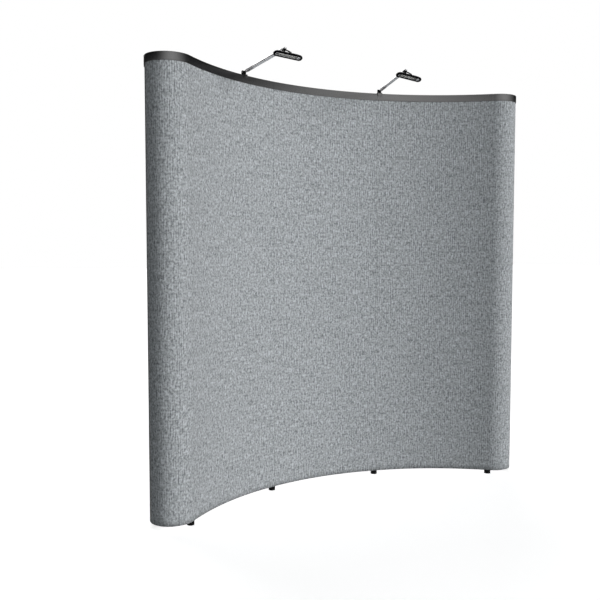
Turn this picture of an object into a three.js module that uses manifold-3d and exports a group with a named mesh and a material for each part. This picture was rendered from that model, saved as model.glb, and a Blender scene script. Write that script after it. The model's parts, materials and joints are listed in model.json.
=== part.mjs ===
// A curved pop-up display wall: a folding lattice of hubs and rods, upright bars,
// fabric panels with black header rails, rounded end panels, feet and two arm lights.
// Millimetres, +Z up. The wall stands on z = 0 and its hollow side faces -Y.
// In plan the front is an arc. Each column, bay and light is laid out in its own frame,
// turned about the centre of that arc: x runs along the wall and y away from the centre.

import * as THREE from 'three';
import { mergeVertices } from 'three/addons/utils/BufferGeometryUtils.js';
import Module from 'manifold-3d';

const wasm = await Module();
wasm.setup();

// ---- Driving dimensions ----------------------------------------------------

const wallHeight = 2235;
const frontRadius = 1390;
const bayAngle = THREE.MathUtils.degToRad(27.95);
const bayCount = 3;
const arcSteps = 16;

const clearance = 0.3;
const seam = 0.8;
// How far a cutting or joining shape runs past the face it meets.
const overrun = 1;

const panelThickness = 3;
const panelFloorGap = 23;

const capReach = 131;
const capDepth = 219;
const capSteps = 20;
// The edge strip starts at this step of the rounded end, after a seam given as an angle.
const edgeStripStep = 15;
const edgeStripSeam = 0.006;

const railProud = 2.4;
const railWeb = 2;
const railFrontLip = 40;
const railRearLip = 22;
const railLipWall = 2;
const railHookGap = 0.6;
const railCornerProud = 3.4;
const railCornerDrop = 50;
// The corner cover starts at this step of the rounded end.
const railCornerStep = 16;

const barWidth = 26;
const barDepth = 8;
const barWall = 2;
const barFloorGap = 35;

const hubRadius = 17;
const hubThickness = 20;
const hubSides = 8;
const rowCount = 4;
const firstRowHeight = 75;
const lastRowDrop = 85;

const rodRadius = 5;
const rodSides = 6;
const rodStagger = 5.5;
const rivetRadius = 3;
const rivetProud = 1;

const footRadius = 18.5;
const footHeight = 22;
const footBevel = 2;
const footStemRadius = 8;
const footSides = 12;
const roundSides = 10;
const nutSides = 6;

const lockRow = 2;
const lockColumns = [1, 2];
const lockWidth = 6.4;
const lockHeight = 10;
const lockPinRadius = 2;
const lockPinGap = 0.4;
const lockLugReach = 11;
const lockLugWall = 2.5;

const clampWidth = 26;
const clampTop = 3.6;
const clampJaw = 4;
const clampFrontDrop = 14;
const clampRearDrop = 28;
const clampGap = 0.4;
const screwRoom = 6;
const screwRadius = 3;
const screwDrop = 14;
const knobRadius = 11;
const knobThickness = 9;
const knobLobes = 6;
const scallopRadius = 3.5;
const scallopOffset = 1.5;

const postOffset = 8;
const postRadius = 12.5;
const postThickness = 2.2;
const postSpigotRadius = 4;
const postSpigotDepth = 2.8;
const pivotHeight = 12;
const pivotPinRadius = 2.5;
const pivotPinGap = 0.4;
const pivotEarWall = 3.5;
const pivotNutRadius = 4;
const pivotNutHeight = 2.5;
const armEyeRadius = 8;
const armEyeWidth = 11;
const armNeckRadius = 4.8;

const armLength = 336;
const armRadius = 8.8;
const armSleeveRadius = 9.5;
const armSleeveStart = 26;
const armSleeveEnd = 86;
const armTipRadius = 7;
const armTipThickness = 6;
const armTipTongue = 20;
const swivelPinRadius = 2.5;
const swivelPinGap = 0.4;
const swivelBossThickness = 7;
const swivelCapRadius = 5;
const swivelCapThickness = 3;

const bracketReach = 26;
const bracketDrop = 30;
const bracketLegRadius = 3.3;
const bracketElbow = 0.45;
const bracketEarRadius = 6;
const bracketEarWall = 3.5;
const bracketEarOffset = 19;
const bracketPinRadius = 2;
const bracketPinGap = 0.4;

// The head's housing and its hollow are stacked rings of [half length, half width, height].
const headEndSteps = 6;
const headLugWall = 3.5;
const headLugRadius = 5;
const headRings = [[56, 8.5, -7], [68, 12, -13], [77, 16.3, -20], [77, 16.3, -26]];
const hollowRings = [[54, 5, -10], [62, 7.6, -15], [67, 9, -21], [67, 9, -27]];
const reflectorWall = 1.4;
const reflectorMouth = -25;
const lampHeight = -17;
const lampRadius = 3.2;
const lampSocketRadius = 4;
const lampSocketLength = 9;

// Where each light stands along the front arc, and how it is set.
const degrees = THREE.MathUtils.degToRad;
const lights = [
  {
    side: 'left', arc: -550,
    azimuth: degrees(12.6), rise: degrees(10), swivel: degrees(-14.8), roll: degrees(7.9),
  },
  {
    side: 'right', arc: 354,
    azimuth: degrees(-9.2), rise: degrees(8.2), swivel: degrees(4.8), roll: degrees(6.9),
  },
];
const headTilt = degrees(-22);

// ---- Places worked out from them -------------------------------------------

const barBack = panelThickness + clearance + barDepth;
const frontHubDepth = barBack + clearance + hubThickness / 2;
const rearHubDepth = capDepth - frontHubDepth;
const railHook = barBack + railHookGap;
const railBack = railHook + railLipWall;
const panelTop = wallHeight - railWeb - clearance;
const lastRowHeight = wallHeight - lastRowDrop;
const capHalfDepth = capDepth / 2;
const capFlat = barWidth / 2;
const capWidth = capReach - capFlat;
const columnAngle = (index) => (index - bayCount / 2) * bayAngle;
const rowPitch = (lastRowHeight - firstRowHeight) / (rowCount - 1);
const rowHeight = (index) => firstRowHeight + index * rowPitch;

// ---- Materials --------------------------------------------------------------

function material(color, roughness, metalness) {
  return new THREE.MeshStandardMaterial({ color, roughness, metalness });
}

const fabricGrey = material(0x9a9ea2, 0.95, 0);
const railBlack = material(0x17181a, 0.35, 0);
const edgeBlack = material(0x101112, 0.6, 0);
const barGrey = material(0x3a3c3f, 0.45, 0.9);
const rodSilver = material(0xb8babd, 0.35, 1);
const footBlack = material(0x0d0d0e, 0.6, 0);
const lockBlack = material(0x1c1d1f, 0.5, 0);
const clampBlack = material(0x141415, 0.5, 0);
const armChrome = material(0xc9c8cc, 0.15, 1);
const headBlack = material(0x0e0e0f, 0.4, 0.4);
const mirrorSilver = material(0xd6d7da, 0.12, 1);
const lampGlass = material(0xf2efe6, 0.1, 0);

// ---- Solids -----------------------------------------------------------------

// Turns a closed three.js geometry into a solid that can be joined and cut.
function solid(geometry) {
  const bare = geometry.clone();
  bare.deleteAttribute('normal');
  bare.deleteAttribute('uv');
  const welded = mergeVertices(bare, 1e-4);
  return new wasm.Manifold(new wasm.Mesh({
    numProp: 3,
    vertProperties: new Float32Array(welded.attributes.position.array),
    triVerts: new Uint32Array(welded.index.array),
  }));
}

// Turns a solid back into a three.js geometry, with its coplanar triangles merged.
function shell(body) {
  const mesh = body.asOriginal().simplify(0.001).getMesh();
  const geometry = new THREE.BufferGeometry();
  geometry.setAttribute('position', new THREE.BufferAttribute(new Float32Array(mesh.vertProperties), 3));
  geometry.setIndex(new THREE.BufferAttribute(new Uint32Array(mesh.triVerts), 1));
  geometry.computeVertexNormals();
  return geometry;
}

const union = (bodies) => bodies.reduce((whole, body) => whole.add(body));

function box(from, to) {
  const size = to.map((value, axis) => value - from[axis]);
  const middle = to.map((value, axis) => (value + from[axis]) / 2);
  return solid(new THREE.BoxGeometry(...size).translate(...middle));
}

// A round bar between two points.
function rod(from, to, radius, sides = rodSides) {
  const start = new THREE.Vector3(...from);
  const span = new THREE.Vector3(...to).sub(start);
  const geometry = new THREE.CylinderGeometry(radius, radius, span.length(), sides);
  geometry.translate(0, span.length() / 2, 0);
  geometry.applyQuaternion(new THREE.Quaternion().setFromUnitVectors(
    new THREE.Vector3(0, 1, 0), span.clone().normalize()));
  return solid(geometry.translate(...from));
}

// Closes rings of points into one surface with a flat face at each end, facing out.
function stackedRings(rings, endFaces) {
  const points = rings.flat(2);
  const count = rings[0].length;
  const last = (rings.length - 1) * count;
  const faces = [];
  for (let ring = 0; ring < rings.length - 1; ring += 1) {
    for (let point = 0; point < count; point += 1) {
      const a = ring * count + point;
      const b = ring * count + ((point + 1) % count);
      faces.push(a, b, b + count, a, b + count, a + count);
    }
  }
  for (const [a, b, c] of endFaces) {
    faces.push(a, c, b, last + a, last + b, last + c);
  }
  const corner = (index) => new THREE.Vector3(...points.slice(3 * faces[index], 3 * faces[index] + 3));
  let volume = 0;
  for (let index = 0; index < faces.length; index += 3) {
    volume += corner(index).dot(corner(index + 1).cross(corner(index + 2)));
  }
  const geometry = new THREE.BufferGeometry();
  geometry.setAttribute('position', new THREE.Float32BufferAttribute(points, 3));
  geometry.setIndex(volume > 0 ? faces : faces.reverse());
  return solid(geometry);
}

// Carries a profile of [depth behind the surface, height] points along a path in plan.
function sweep(path, profile) {
  const outline = profile.map(([depth, height]) => new THREE.Vector2(depth, height));
  const rings = path.map(({ x, y, inX, inY }) => profile.map(
    ([depth, height]) => [x + depth * inX, y + depth * inY, height]));
  return stackedRings(rings, THREE.ShapeUtils.triangulateShape(outline, []));
}

const slab = (near, far, bottom, top) => [[near, bottom], [far, bottom], [far, top], [near, top]];

// ---- Paths in plan -----------------------------------------------------------

function arcPath(fromAngle, toAngle) {
  return Array.from({ length: arcSteps + 1 }, (_, step) => {
    const angle = fromAngle + ((toAngle - fromAngle) * step) / arcSteps;
    const [inX, inY] = [Math.sin(angle), Math.cos(angle)];
    return { x: frontRadius * inX, y: frontRadius * inY, inX, inY };
  });
}

// One point of the rounded end: half an ellipse that starts beside the front bar.
function capPoint(side, turn) {
  const [sine, cosine] = [Math.sin(turn), Math.cos(turn)];
  const pace = Math.hypot(capWidth * cosine, capHalfDepth * sine);
  return {
    x: side * (capFlat + capWidth * sine),
    y: frontRadius + capHalfDepth * (1 - cosine),
    inX: (-side * capHalfDepth * sine) / pace,
    inY: (capWidth * cosine) / pace,
  };
}

// The rounded end from one step of its ellipse to another, with the flats over the bars.
function capPath(side, fromStep, toStep) {
  const path = [];
  if (fromStep === 0) {
    path.push({ x: (side * seam) / 2, y: frontRadius, inX: 0, inY: 1 });
  }
  for (let step = fromStep; step <= toStep; step += 1) {
    let turn = (Math.PI * step) / capSteps;
    if (step === edgeStripStep && step === toStep) {
      turn -= edgeStripSeam / 2;
    } else if (step === edgeStripStep) {
      turn += edgeStripSeam / 2;
    }
    path.push(capPoint(side, turn));
  }
  if (toStep === capSteps) {
    path.push({ x: -side * capFlat, y: frontRadius + capDepth, inX: 0, inY: -1 });
  }
  return path;
}

// ---- Panels and rails --------------------------------------------------------

const bayEdges = (bay) => {
  const halfSeam = seam / 2 / frontRadius;
  return [columnAngle(bay) + halfSeam, columnAngle(bay + 1) - halfSeam];
};

const panelProfile = slab(0, panelThickness, panelFloorGap, panelTop);

const frontPanel = (bay) => sweep(arcPath(...bayEdges(bay)), panelProfile);
const endPanel = (side) => sweep(capPath(side, 0, edgeStripStep), panelProfile);
const edgeStrip = (side) => sweep(capPath(side, edgeStripStep, capSteps), panelProfile);

// An upside-down U that covers the top edge of a panel and hooks over the bars.
const railProfile = [
  [-railProud, wallHeight - railFrontLip],
  [-clearance, wallHeight - railFrontLip],
  [-clearance, wallHeight - railWeb],
  [railHook, wallHeight - railWeb],
  [railHook, wallHeight - railRearLip],
  [railBack, wallHeight - railRearLip],
  [railBack, wallHeight],
  [-railProud, wallHeight],
];

const frontRail = (bay) => sweep(arcPath(...bayEdges(bay)), railProfile);

// The end rail follows the rounded end and has a deeper corner cover over the edge strip.
function endRail(side) {
  const corner = slab(-railCornerProud, -clearance, wallHeight - railCornerDrop, wallHeight - railWeb / 2);
  return union([
    sweep(capPath(side, 0, capSteps), railProfile),
    sweep(capPath(side, railCornerStep, capSteps), corner),
  ]);
}

// ---- Frame -------------------------------------------------------------------

const hub = (depth, height, grow = 0) => solid(new THREE.CylinderGeometry(
  hubRadius + grow, hubRadius + grow, hubThickness + 2 * grow, hubSides,
).translate(0, frontRadius + depth, height));

// The round button on a hub's outer face, which sits inside the channel of a bar.
function barButton(depth, height, facing) {
  const face = depth + (facing * hubThickness) / 2;
  const radius = barWidth / 2 - barWall - clearance;
  const reach = barDepth - barWall;
  return rod(
    [0, frontRadius + face - facing, height],
    [0, frontRadius + face + facing * reach, height], radius, hubSides);
}

// The lug on a rear hub that carries a locking arm, and the peg on the front hub it drops over.
function lockFittings(height) {
  const cheek = lockWidth / 2 + clearance;
  const rearFace = frontRadius + rearHubDepth - hubThickness / 2;
  const frontFace = frontRadius + frontHubDepth + hubThickness / 2;
  const [bottom, top] = [height - lockHeight / 2, height + lockHeight / 2];
  const lugPair = (near, far) => [
    box([-cheek - lockLugWall, near, bottom], [-cheek, far, top]),
    box([cheek, near, bottom], [cheek + lockLugWall, far, top]),
  ];
  const pin = (y) => rod([-cheek - overrun, y, height], [cheek + overrun, y, height], lockPinRadius);
  return [
    ...lugPair(rearFace - lockLugReach, rearFace + overrun),
    ...lugPair(frontFace - overrun, frontFace + lockLugReach),
    pin(rearFace - lockLugReach / 2),
    pin(frontFace + lockLugReach / 2),
  ];
}

// One column: a front and a rear hub in each row and the crossed rods between the rows.
function columnFrame(column) {
  const bodies = [];
  const isEnd = column === 0 || column === bayCount;
  for (let row = 0; row < rowCount; row += 1) {
    const height = rowHeight(row);
    bodies.push(hub(frontHubDepth, height), hub(rearHubDepth, height));
    bodies.push(barButton(frontHubDepth, height, -1));
    if (isEnd) {
      bodies.push(barButton(rearHubDepth, height, 1));
    }
    if (row + 1 < rowCount) {
      const above = rowHeight(row + 1);
      const [near, far] = [frontRadius + frontHubDepth, frontRadius + rearHubDepth];
      bodies.push(rod([rodStagger, near, height], [rodStagger, far, above], rodRadius));
      bodies.push(rod([-rodStagger, far, height], [-rodStagger, near, above], rodRadius));
      const rivet = [rodStagger + rodRadius + rivetProud, (near + far) / 2, (height + above) / 2];
      bodies.push(rod([-rivet[0], rivet[1], rivet[2]], rivet, rivetRadius));
    }
  }
  if (lockColumns.includes(column)) {
    bodies.push(...lockFittings(rowHeight(lockRow)));
  }
  return union(bodies);
}

// The crossed pair of rods between two columns in one row, about the middle of the bay.
function scissorPair() {
  const at = (side, depth, height) => [
    side * Math.sin(bayAngle / 2) * (frontRadius + depth),
    Math.cos(bayAngle / 2) * (frontRadius + depth), height];
  const pair = union([
    rod(at(-1, frontHubDepth, rodStagger), at(1, rearHubDepth, rodStagger), rodRadius),
    rod(at(-1, rearHubDepth, -rodStagger), at(1, frontHubDepth, -rodStagger), rodRadius),
    scissorRivet(),
  ]);
  const room = [-1, 1].flatMap((side) => [frontHubDepth, rearHubDepth].map(
    (depth) => hub(depth, 0, clearance).rotate([0, 0, THREE.MathUtils.radToDeg(-side * bayAngle / 2)])));
  return room.reduce((body, cut) => body.subtract(cut), pair);
}

// The rivet where the two rods cross. They cross nearer the front, where the bay is narrower.
function scissorRivet() {
  const near = frontRadius + frontHubDepth;
  const far = frontRadius + rearHubDepth;
  const y = (2 * near * far * Math.cos(bayAngle / 2)) / (near + far);
  const reach = rodStagger + rodRadius + rivetProud;
  return rod([0, y, -reach], [0, y, reach], rivetRadius);
}

// A channel with its open side towards the hubs.
function channelBar(facing) {
  const depth = facing < 0 ? panelThickness + clearance : capDepth - panelThickness - clearance - barDepth;
  const [near, far] = [frontRadius + depth, frontRadius + depth + barDepth];
  const half = barWidth / 2;
  const inner = half - barWall;
  const [from, to] = facing < 0 ? [near + barWall, far + overrun] : [near - overrun, far - barWall];
  const bar = box([-half, near, barFloorGap], [half, far, panelTop]);
  return bar.subtract(box([-inner, from, barFloorGap - overrun], [inner, to, panelTop + overrun]));
}

// A round pad with a stem that ends under the lowest hub.
function foot(depth) {
  const stemTop = firstRowHeight - hubRadius - clearance;
  const profile = [
    [0, 0], [footRadius, 0], [footRadius, footHeight - footBevel], [footRadius - footBevel, footHeight],
    [footStemRadius, footHeight], [footStemRadius, stemTop], [0, stemTop],
  ].map(([radius, height]) => new THREE.Vector2(radius, height));
  const geometry = new THREE.LatheGeometry(profile, footSides).rotateX(Math.PI / 2);
  return solid(geometry.translate(0, frontRadius + depth, 0));
}

// ---- Locking arm, about its pin on the rear hub -------------------------------

const lockSpan = rearHubDepth - frontHubDepth - hubThickness - lockLugReach;

function lockingArm() {
  const half = lockWidth / 2;
  const room = half + overrun;
  const hole = lockPinRadius + lockPinGap;
  const tip = -lockSpan - lockHeight / 2;
  return union([
    rod([-half, 0, 0], [half, 0, 0], lockHeight / 2, roundSides),
    box([-half, tip, -lockHeight / 2], [half, 0, lockHeight / 2]),
  ])
    .subtract(rod([-room, 0, 0], [room, 0, 0], hole, rodSides))
    .subtract(box([-room, -lockSpan - hole, -lockHeight], [room, -lockSpan + hole, hole]));
}

// ---- Arm light ----------------------------------------------------------------

// Hooks over a header rail. Its origin is the rail's top under the post.
function railClamp() {
  const half = clampWidth / 2;
  const railFront = -railProud - postOffset;
  const railRear = railBack - postOffset;
  const [frontOut, rearIn] = [railFront - clampGap - clampJaw, railRear + screwRoom];
  const rearOut = rearIn + clampJaw;
  const top = clampGap + clampTop;
  const screwHole = rod(
    [0, rearIn - overrun, -screwDrop],
    [0, rearOut + overrun, -screwDrop], screwRadius + clearance, roundSides);
  const spigotHole = rod(
    [0, 0, top - postSpigotDepth],
    [0, 0, top + overrun], postSpigotRadius + clearance, roundSides);
  return union([
    box([-half, frontOut, clampGap], [half, rearOut, top]),
    box([-half, frontOut, -clampFrontDrop], [half, frontOut + clampJaw, top]),
    box([-half, rearIn, -clampRearDrop], [half, rearOut, top]),
  ]).subtract(screwHole).subtract(spigotHole);
}

// The knob and its screw, which ends against the rail's rear lip.
function clampKnob() {
  const railRear = railBack - postOffset;
  const rearOut = railRear + screwRoom + clampJaw;
  const face = rearOut + clearance;
  const grip = rod([0, face, 0], [0, face + knobThickness, 0], knobRadius, roundSides);
  const scallops = Array.from({ length: knobLobes }, (_, index) => {
    const turn = (index * 2 * Math.PI) / knobLobes;
    const reach = knobRadius + scallopOffset;
    const [x, z] = [Math.cos(turn) * reach, Math.sin(turn) * reach];
    return rod([x, face - overrun, z], [x, face + knobThickness + overrun, z], scallopRadius, roundSides);
  });
  const scalloped = scallops.reduce((body, cut) => body.subtract(cut), grip);
  return scalloped.add(rod([0, railRear + clearance, 0], [0, face + overrun, 0], screwRadius, roundSides));
}

// The turning post with two ears and the pin for the arm.
function swivelPost() {
  const inner = armEyeWidth / 2 + clearance;
  const outer = inner + pivotEarWall;
  const base = clearance;
  const ears = [-1, 1].flatMap((side) => {
    const [low, high] = [Math.min(side * inner, side * outer), Math.max(side * inner, side * outer)];
    return [
      box([low, -armEyeRadius, base], [high, armEyeRadius, pivotHeight]),
      rod([low, 0, pivotHeight], [high, 0, pivotHeight], armEyeRadius, roundSides),
    ];
  });
  return union([
    rod([0, 0, base], [0, 0, base + postThickness], postRadius, roundSides),
    rod([0, 0, base - postSpigotDepth], [0, 0, base + overrun], postSpigotRadius, roundSides),
    ...ears,
    rod([-inner - overrun, 0, pivotHeight], [inner + overrun, 0, pivotHeight], pivotPinRadius, roundSides),
    ...[-1, 1].map((side) => rod(
      [side * (outer - overrun), 0, pivotHeight],
      [side * (outer + pivotNutHeight), 0, pivotHeight], pivotNutRadius, nutSides)),
  ]);
}

// The arm tube with its neck and sleeve, an eye at the post and a flat tongue at the tip.
function lightArm() {
  const half = armEyeWidth / 2;
  const tipHalf = armTipThickness / 2;
  const tubeEnd = armTipTongue - armLength;
  const pinHole = rod(
    [-half - overrun, 0, 0], [half + overrun, 0, 0], pivotPinRadius + pivotPinGap, roundSides);
  const tipHole = rod(
    [0, -armLength, -armTipRadius],
    [0, -armLength, armTipRadius], swivelPinRadius + swivelPinGap, roundSides);
  return union([
    rod([-half, 0, 0], [half, 0, 0], armEyeRadius - clearance, roundSides),
    rod([0, overrun - armEyeRadius, 0], [0, -armSleeveEnd, 0], armNeckRadius, roundSides),
    rod([0, -armSleeveStart, 0], [0, tubeEnd, 0], armRadius, roundSides),
    rod([0, -armSleeveStart, 0], [0, -armSleeveEnd, 0], armSleeveRadius, roundSides),
    rod([0, -armLength, -tipHalf], [0, -armLength, tipHalf], armTipRadius, roundSides),
    box([-armTipRadius, -armLength, -tipHalf], [armTipRadius, tubeEnd + overrun, tipHalf]),
  ]).subtract(pinHole).subtract(tipHole);
}

// The V-shaped bracket that hangs the head from the arm's tip.
function headBracket(roll) {
  const tipHalf = armTipThickness / 2 + clearance;
  const root = -tipHalf - swivelBossThickness / 2;
  const legs = [-1, 1].flatMap((side) => {
    const ear = [side * bracketEarOffset, -bracketReach, -bracketDrop];
    const legEnd = [side * (bracketEarOffset - bracketEarWall / 2 + bracketLegRadius), ear[1], ear[2]];
    const elbow = [legEnd[0], ear[1] * bracketElbow, root + (ear[2] - root) * bracketElbow];
    const half = (side * bracketEarWall) / 2;
    const lugFace = side * (bracketEarOffset - bracketEarWall / 2 - clearance - headLugWall);
    return [
      rod([0, 0, root], elbow, bracketLegRadius, roundSides),
      rod(elbow, legEnd, bracketLegRadius, roundSides),
      rod([ear[0] - half, ear[1], ear[2]], [ear[0] + half, ear[1], ear[2]], bracketEarRadius, roundSides),
      rod([ear[0], ear[1], ear[2]], [lugFace, ear[1], ear[2]], bracketPinRadius, roundSides),
    ];
  });
  const legsRolled = union(legs).rotate([0, THREE.MathUtils.radToDeg(roll), 0]);
  const room = armTipRadius + overrun;
  const boss = union([
    rod([0, 0, -tipHalf - swivelBossThickness], [0, 0, -tipHalf], armTipRadius, roundSides),
    rod([0, 0, -tipHalf - overrun], [0, 0, tipHalf + overrun], swivelPinRadius, roundSides),
    rod([0, 0, tipHalf], [0, 0, tipHalf + swivelCapThickness], swivelCapRadius, roundSides),
  ]);
  return boss.add(legsRolled.subtract(box([-room, -room, -tipHalf], [room, room, room])));
}

// A ring in the shape of a bar with round ends, at one height.
function barRing(halfLength, halfWidth, height) {
  const ring = [];
  for (const side of [1, -1]) {
    for (let step = 0; step <= headEndSteps; step += 1) {
      const turn = (Math.PI * step) / headEndSteps - Math.PI / 2;
      const x = side * (halfLength - halfWidth + halfWidth * Math.cos(turn));
      ring.push([x, side * halfWidth * Math.sin(turn), height]);
    }
  }
  return ring;
}

function barLoft(sizes, inset = 0) {
  const rings = sizes.map(([length, width, height]) => barRing(length - inset, width - inset, height));
  const endFaces = rings[0].slice(2).map((_, index) => [0, index + 1, index + 2]);
  return stackedRings(rings, endFaces);
}

// The head's housing, open below, with two lugs on its back.
function headShell() {
  const lugOut = bracketEarOffset - bracketEarWall / 2 - clearance;
  const lugIn = lugOut - headLugWall;
  const back = headRings[0][2];
  const lugs = [-1, 1].flatMap((side) => {
    const [low, high] = [Math.min(side * lugIn, side * lugOut), Math.max(side * lugIn, side * lugOut)];
    return [
      box([low, -headLugRadius, back - overrun], [high, headLugRadius, 0]),
      rod([low, 0, 0], [high, 0, 0], headLugRadius, roundSides),
    ];
  });
  const hole = rod(
    [-lugOut - overrun, 0, 0], [lugOut + overrun, 0, 0], bracketPinRadius + bracketPinGap, roundSides);
  return union([barLoft(headRings), ...lugs]).subtract(hole).subtract(barLoft(hollowRings));
}

// The bright trough that lines the housing.
function reflector() {
  const outer = barLoft(hollowRings, clearance);
  const [deepest, ...rest] = hollowRings;
  const floor = [deepest[0], deepest[1], deepest[2] - reflectorWall];
  const inner = barLoft([floor, ...rest], clearance + reflectorWall);
  const room = headRings.at(-1)[0];
  const below = box([-room, -room, -room], [room, room, reflectorMouth]);
  const behind = box([-room, -room, deepest[2] - clearance], [room, room, 0]);
  return outer.subtract(inner).subtract(below).subtract(behind);
}

// Half the trough's inner length over a given width, at one height.
function troughReach(height, halfWidth) {
  const below = hollowRings.findIndex((ring) => ring[2] < height);
  const [upper, lower] = [hollowRings[below - 1], hollowRings[below]];
  const share = (upper[2] - height) / (upper[2] - lower[2]);
  const inset = clearance + reflectorWall;
  const length = upper[0] + share * (lower[0] - upper[0]) - inset;
  const bend = upper[1] + share * (lower[1] - upper[1]) - inset;
  return length - bend + Math.sqrt(bend * bend - halfWidth * halfWidth);
}

// The tube lamp between its two sockets, which stand in the ends of the trough.
function lampTube() {
  const end = troughReach(lampHeight + lampSocketRadius, lampSocketRadius) - clearance;
  return union([
    rod([-end, 0, lampHeight], [end, 0, lampHeight], lampRadius, roundSides),
    ...[-1, 1].map((side) => rod(
      [side * end, 0, lampHeight],
      [side * (end - lampSocketLength), 0, lampHeight], lampSocketRadius, roundSides)),
  ]);
}

// ---- Assembly -------------------------------------------------------------------

const wall = new THREE.Group();

function place(parent, name, body, finish) {
  const mesh = new THREE.Mesh(shell(body), finish);
  mesh.name = name;
  parent.add(mesh);
  return mesh;
}

function frame(parent, position, rotation) {
  const group = new THREE.Group();
  group.position.set(...position);
  group.rotation.set(...rotation);
  parent.add(group);
  return group;
}

const turned = (angle) => frame(wall, [0, 0, 0], [0, 0, -angle]);

for (let column = 0; column <= bayCount; column += 1) {
  const here = turned(columnAngle(column));
  const number = column + 1;
  place(here, `column_frame_${number}`, columnFrame(column), rodSilver);
  place(here, `front_channel_bar_${number}`, channelBar(-1), barGrey);
  place(here, `front_foot_${number}`, foot(frontHubDepth), footBlack);
  place(here, `rear_foot_${number}`, foot(rearHubDepth), footBlack);
  if (lockColumns.includes(column)) {
    const pin = frontRadius + rearHubDepth - hubThickness / 2 - lockLugReach / 2;
    const pivot = frame(here, [0, pin, rowHeight(lockRow)], [0, 0, 0]);
    place(pivot, `locking_arm_${number}`, lockingArm(), lockBlack);
  }
}

const pair = scissorPair();
for (let bay = 0; bay < bayCount; bay += 1) {
  const here = turned((columnAngle(bay) + columnAngle(bay + 1)) / 2);
  for (let row = 0; row < rowCount; row += 1) {
    const level = frame(here, [0, 0, rowHeight(row)], [0, 0, 0]);
    place(level, `scissor_rods_bay_${bay + 1}_row_${row + 1}`, pair, rodSilver);
  }
  place(wall, `front_panel_${bay + 1}`, frontPanel(bay), fabricGrey);
  place(wall, `front_header_rail_${bay + 1}`, frontRail(bay), railBlack);
}

for (const [name, side] of [['left', -1], ['right', 1]]) {
  const here = turned(side * columnAngle(bayCount));
  place(here, `${name}_rear_channel_bar`, channelBar(1), barGrey);
  place(here, `${name}_end_panel`, endPanel(side), fabricGrey);
  place(here, `${name}_edge_strip`, edgeStrip(side), edgeBlack);
  place(here, `${name}_end_header_rail`, endRail(side), railBlack);
}

for (const { side, arc, azimuth, rise, swivel, roll } of lights) {
  const angle = arc / frontRadius;
  const railTop = frame(turned(angle), [0, frontRadius + postOffset, wallHeight], [0, 0, 0]);
  place(railTop, `${side}_light_rail_clamp`, railClamp(), clampBlack);
  const screw = frame(railTop, [0, 0, -screwDrop], [0, 0, 0]);
  place(screw, `${side}_light_clamp_knob`, clampKnob(), clampBlack);
  const post = frame(railTop, [0, 0, clampGap + clampTop], [0, 0, azimuth + angle]);
  place(post, `${side}_light_swivel_post`, swivelPost(), clampBlack);
  const pivot = frame(post, [0, 0, pivotHeight], [-rise, 0, 0]);
  place(pivot, `${side}_light_arm`, lightArm(), armChrome);
  const tip = frame(pivot, [0, -armLength, 0], [0, 0, swivel]);
  place(tip, `${side}_light_head_bracket`, headBracket(roll), headBlack);
  const rolled = frame(tip, [0, 0, 0], [0, roll, 0]);
  const head = frame(rolled, [0, -bracketReach, -bracketDrop], [headTilt, 0, 0]);
  place(head, `${side}_light_head_shell`, headShell(), headBlack);
  place(head, `${side}_light_reflector`, reflector(), mirrorSilver);
  place(head, `${side}_light_lamp_tube`, lampTube(), lampGlass);
}

// The origin is on the floor, under the middle of the whole wall.
wall.updateMatrixWorld(true);
const extent = new THREE.Box3().setFromObject(wall, true);
wall.position.set(-(extent.min.x + extent.max.x) / 2, -(extent.min.y + extent.max.y) / 2, 0);
wall.updateMatrixWorld(true);

export default wall;
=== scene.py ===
"""Looks of a curved pop-up display wall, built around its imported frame.

Metres, +Z up. The hollow front of the wall faces -Y. Everything that stands on the arc is
made in a local frame: x along the wall, y away from the arc's centre, z up.
"""

import json
import math

import bpy
import numpy as np
from mathutils import Matrix, Vector
from mathutils.geometry import tessellate_polygon


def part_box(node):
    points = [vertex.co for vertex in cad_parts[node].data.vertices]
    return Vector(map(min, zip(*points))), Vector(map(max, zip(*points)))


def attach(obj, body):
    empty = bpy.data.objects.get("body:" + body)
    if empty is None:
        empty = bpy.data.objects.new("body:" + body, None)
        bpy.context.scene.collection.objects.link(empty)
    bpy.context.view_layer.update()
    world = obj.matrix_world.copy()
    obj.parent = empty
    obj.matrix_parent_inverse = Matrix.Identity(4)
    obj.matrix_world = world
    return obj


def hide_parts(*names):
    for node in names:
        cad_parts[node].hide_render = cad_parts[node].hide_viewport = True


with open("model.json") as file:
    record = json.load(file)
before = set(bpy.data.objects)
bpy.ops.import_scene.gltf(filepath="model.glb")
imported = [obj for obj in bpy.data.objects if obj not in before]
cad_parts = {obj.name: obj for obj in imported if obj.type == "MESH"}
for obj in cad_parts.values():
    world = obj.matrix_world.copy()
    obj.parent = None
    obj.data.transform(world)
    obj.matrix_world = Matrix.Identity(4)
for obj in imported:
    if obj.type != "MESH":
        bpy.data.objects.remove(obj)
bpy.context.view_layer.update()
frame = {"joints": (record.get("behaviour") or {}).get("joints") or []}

# ---- Sizes of the wall, in metres ---------------------------------------------------------

WALL_HEIGHT = 2.235
FRONT_RADIUS = 1.390
BAY_ANGLE = math.radians(27.95)
BAY_COUNT = 3
CLEARANCE = 0.0003
SEAM = 0.0008

PANEL_THICKNESS = 0.003
PANEL_FLOOR_GAP = 0.023
CLOTH_THICKNESS = 0.0012
RIB_PITCH = 0.0115
RIB_DEPTH = 0.0006
RIB_SAMPLES = 6
CLOTH_ROWS = 72
CLOTH_SET_BACK = 0.00015
CLOTH_SWELL = 0.0001
BACKING_GAP = 0.0002
BACKING_EDGE_CUT = 0.0003
BACKING_POINTS = 49

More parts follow.
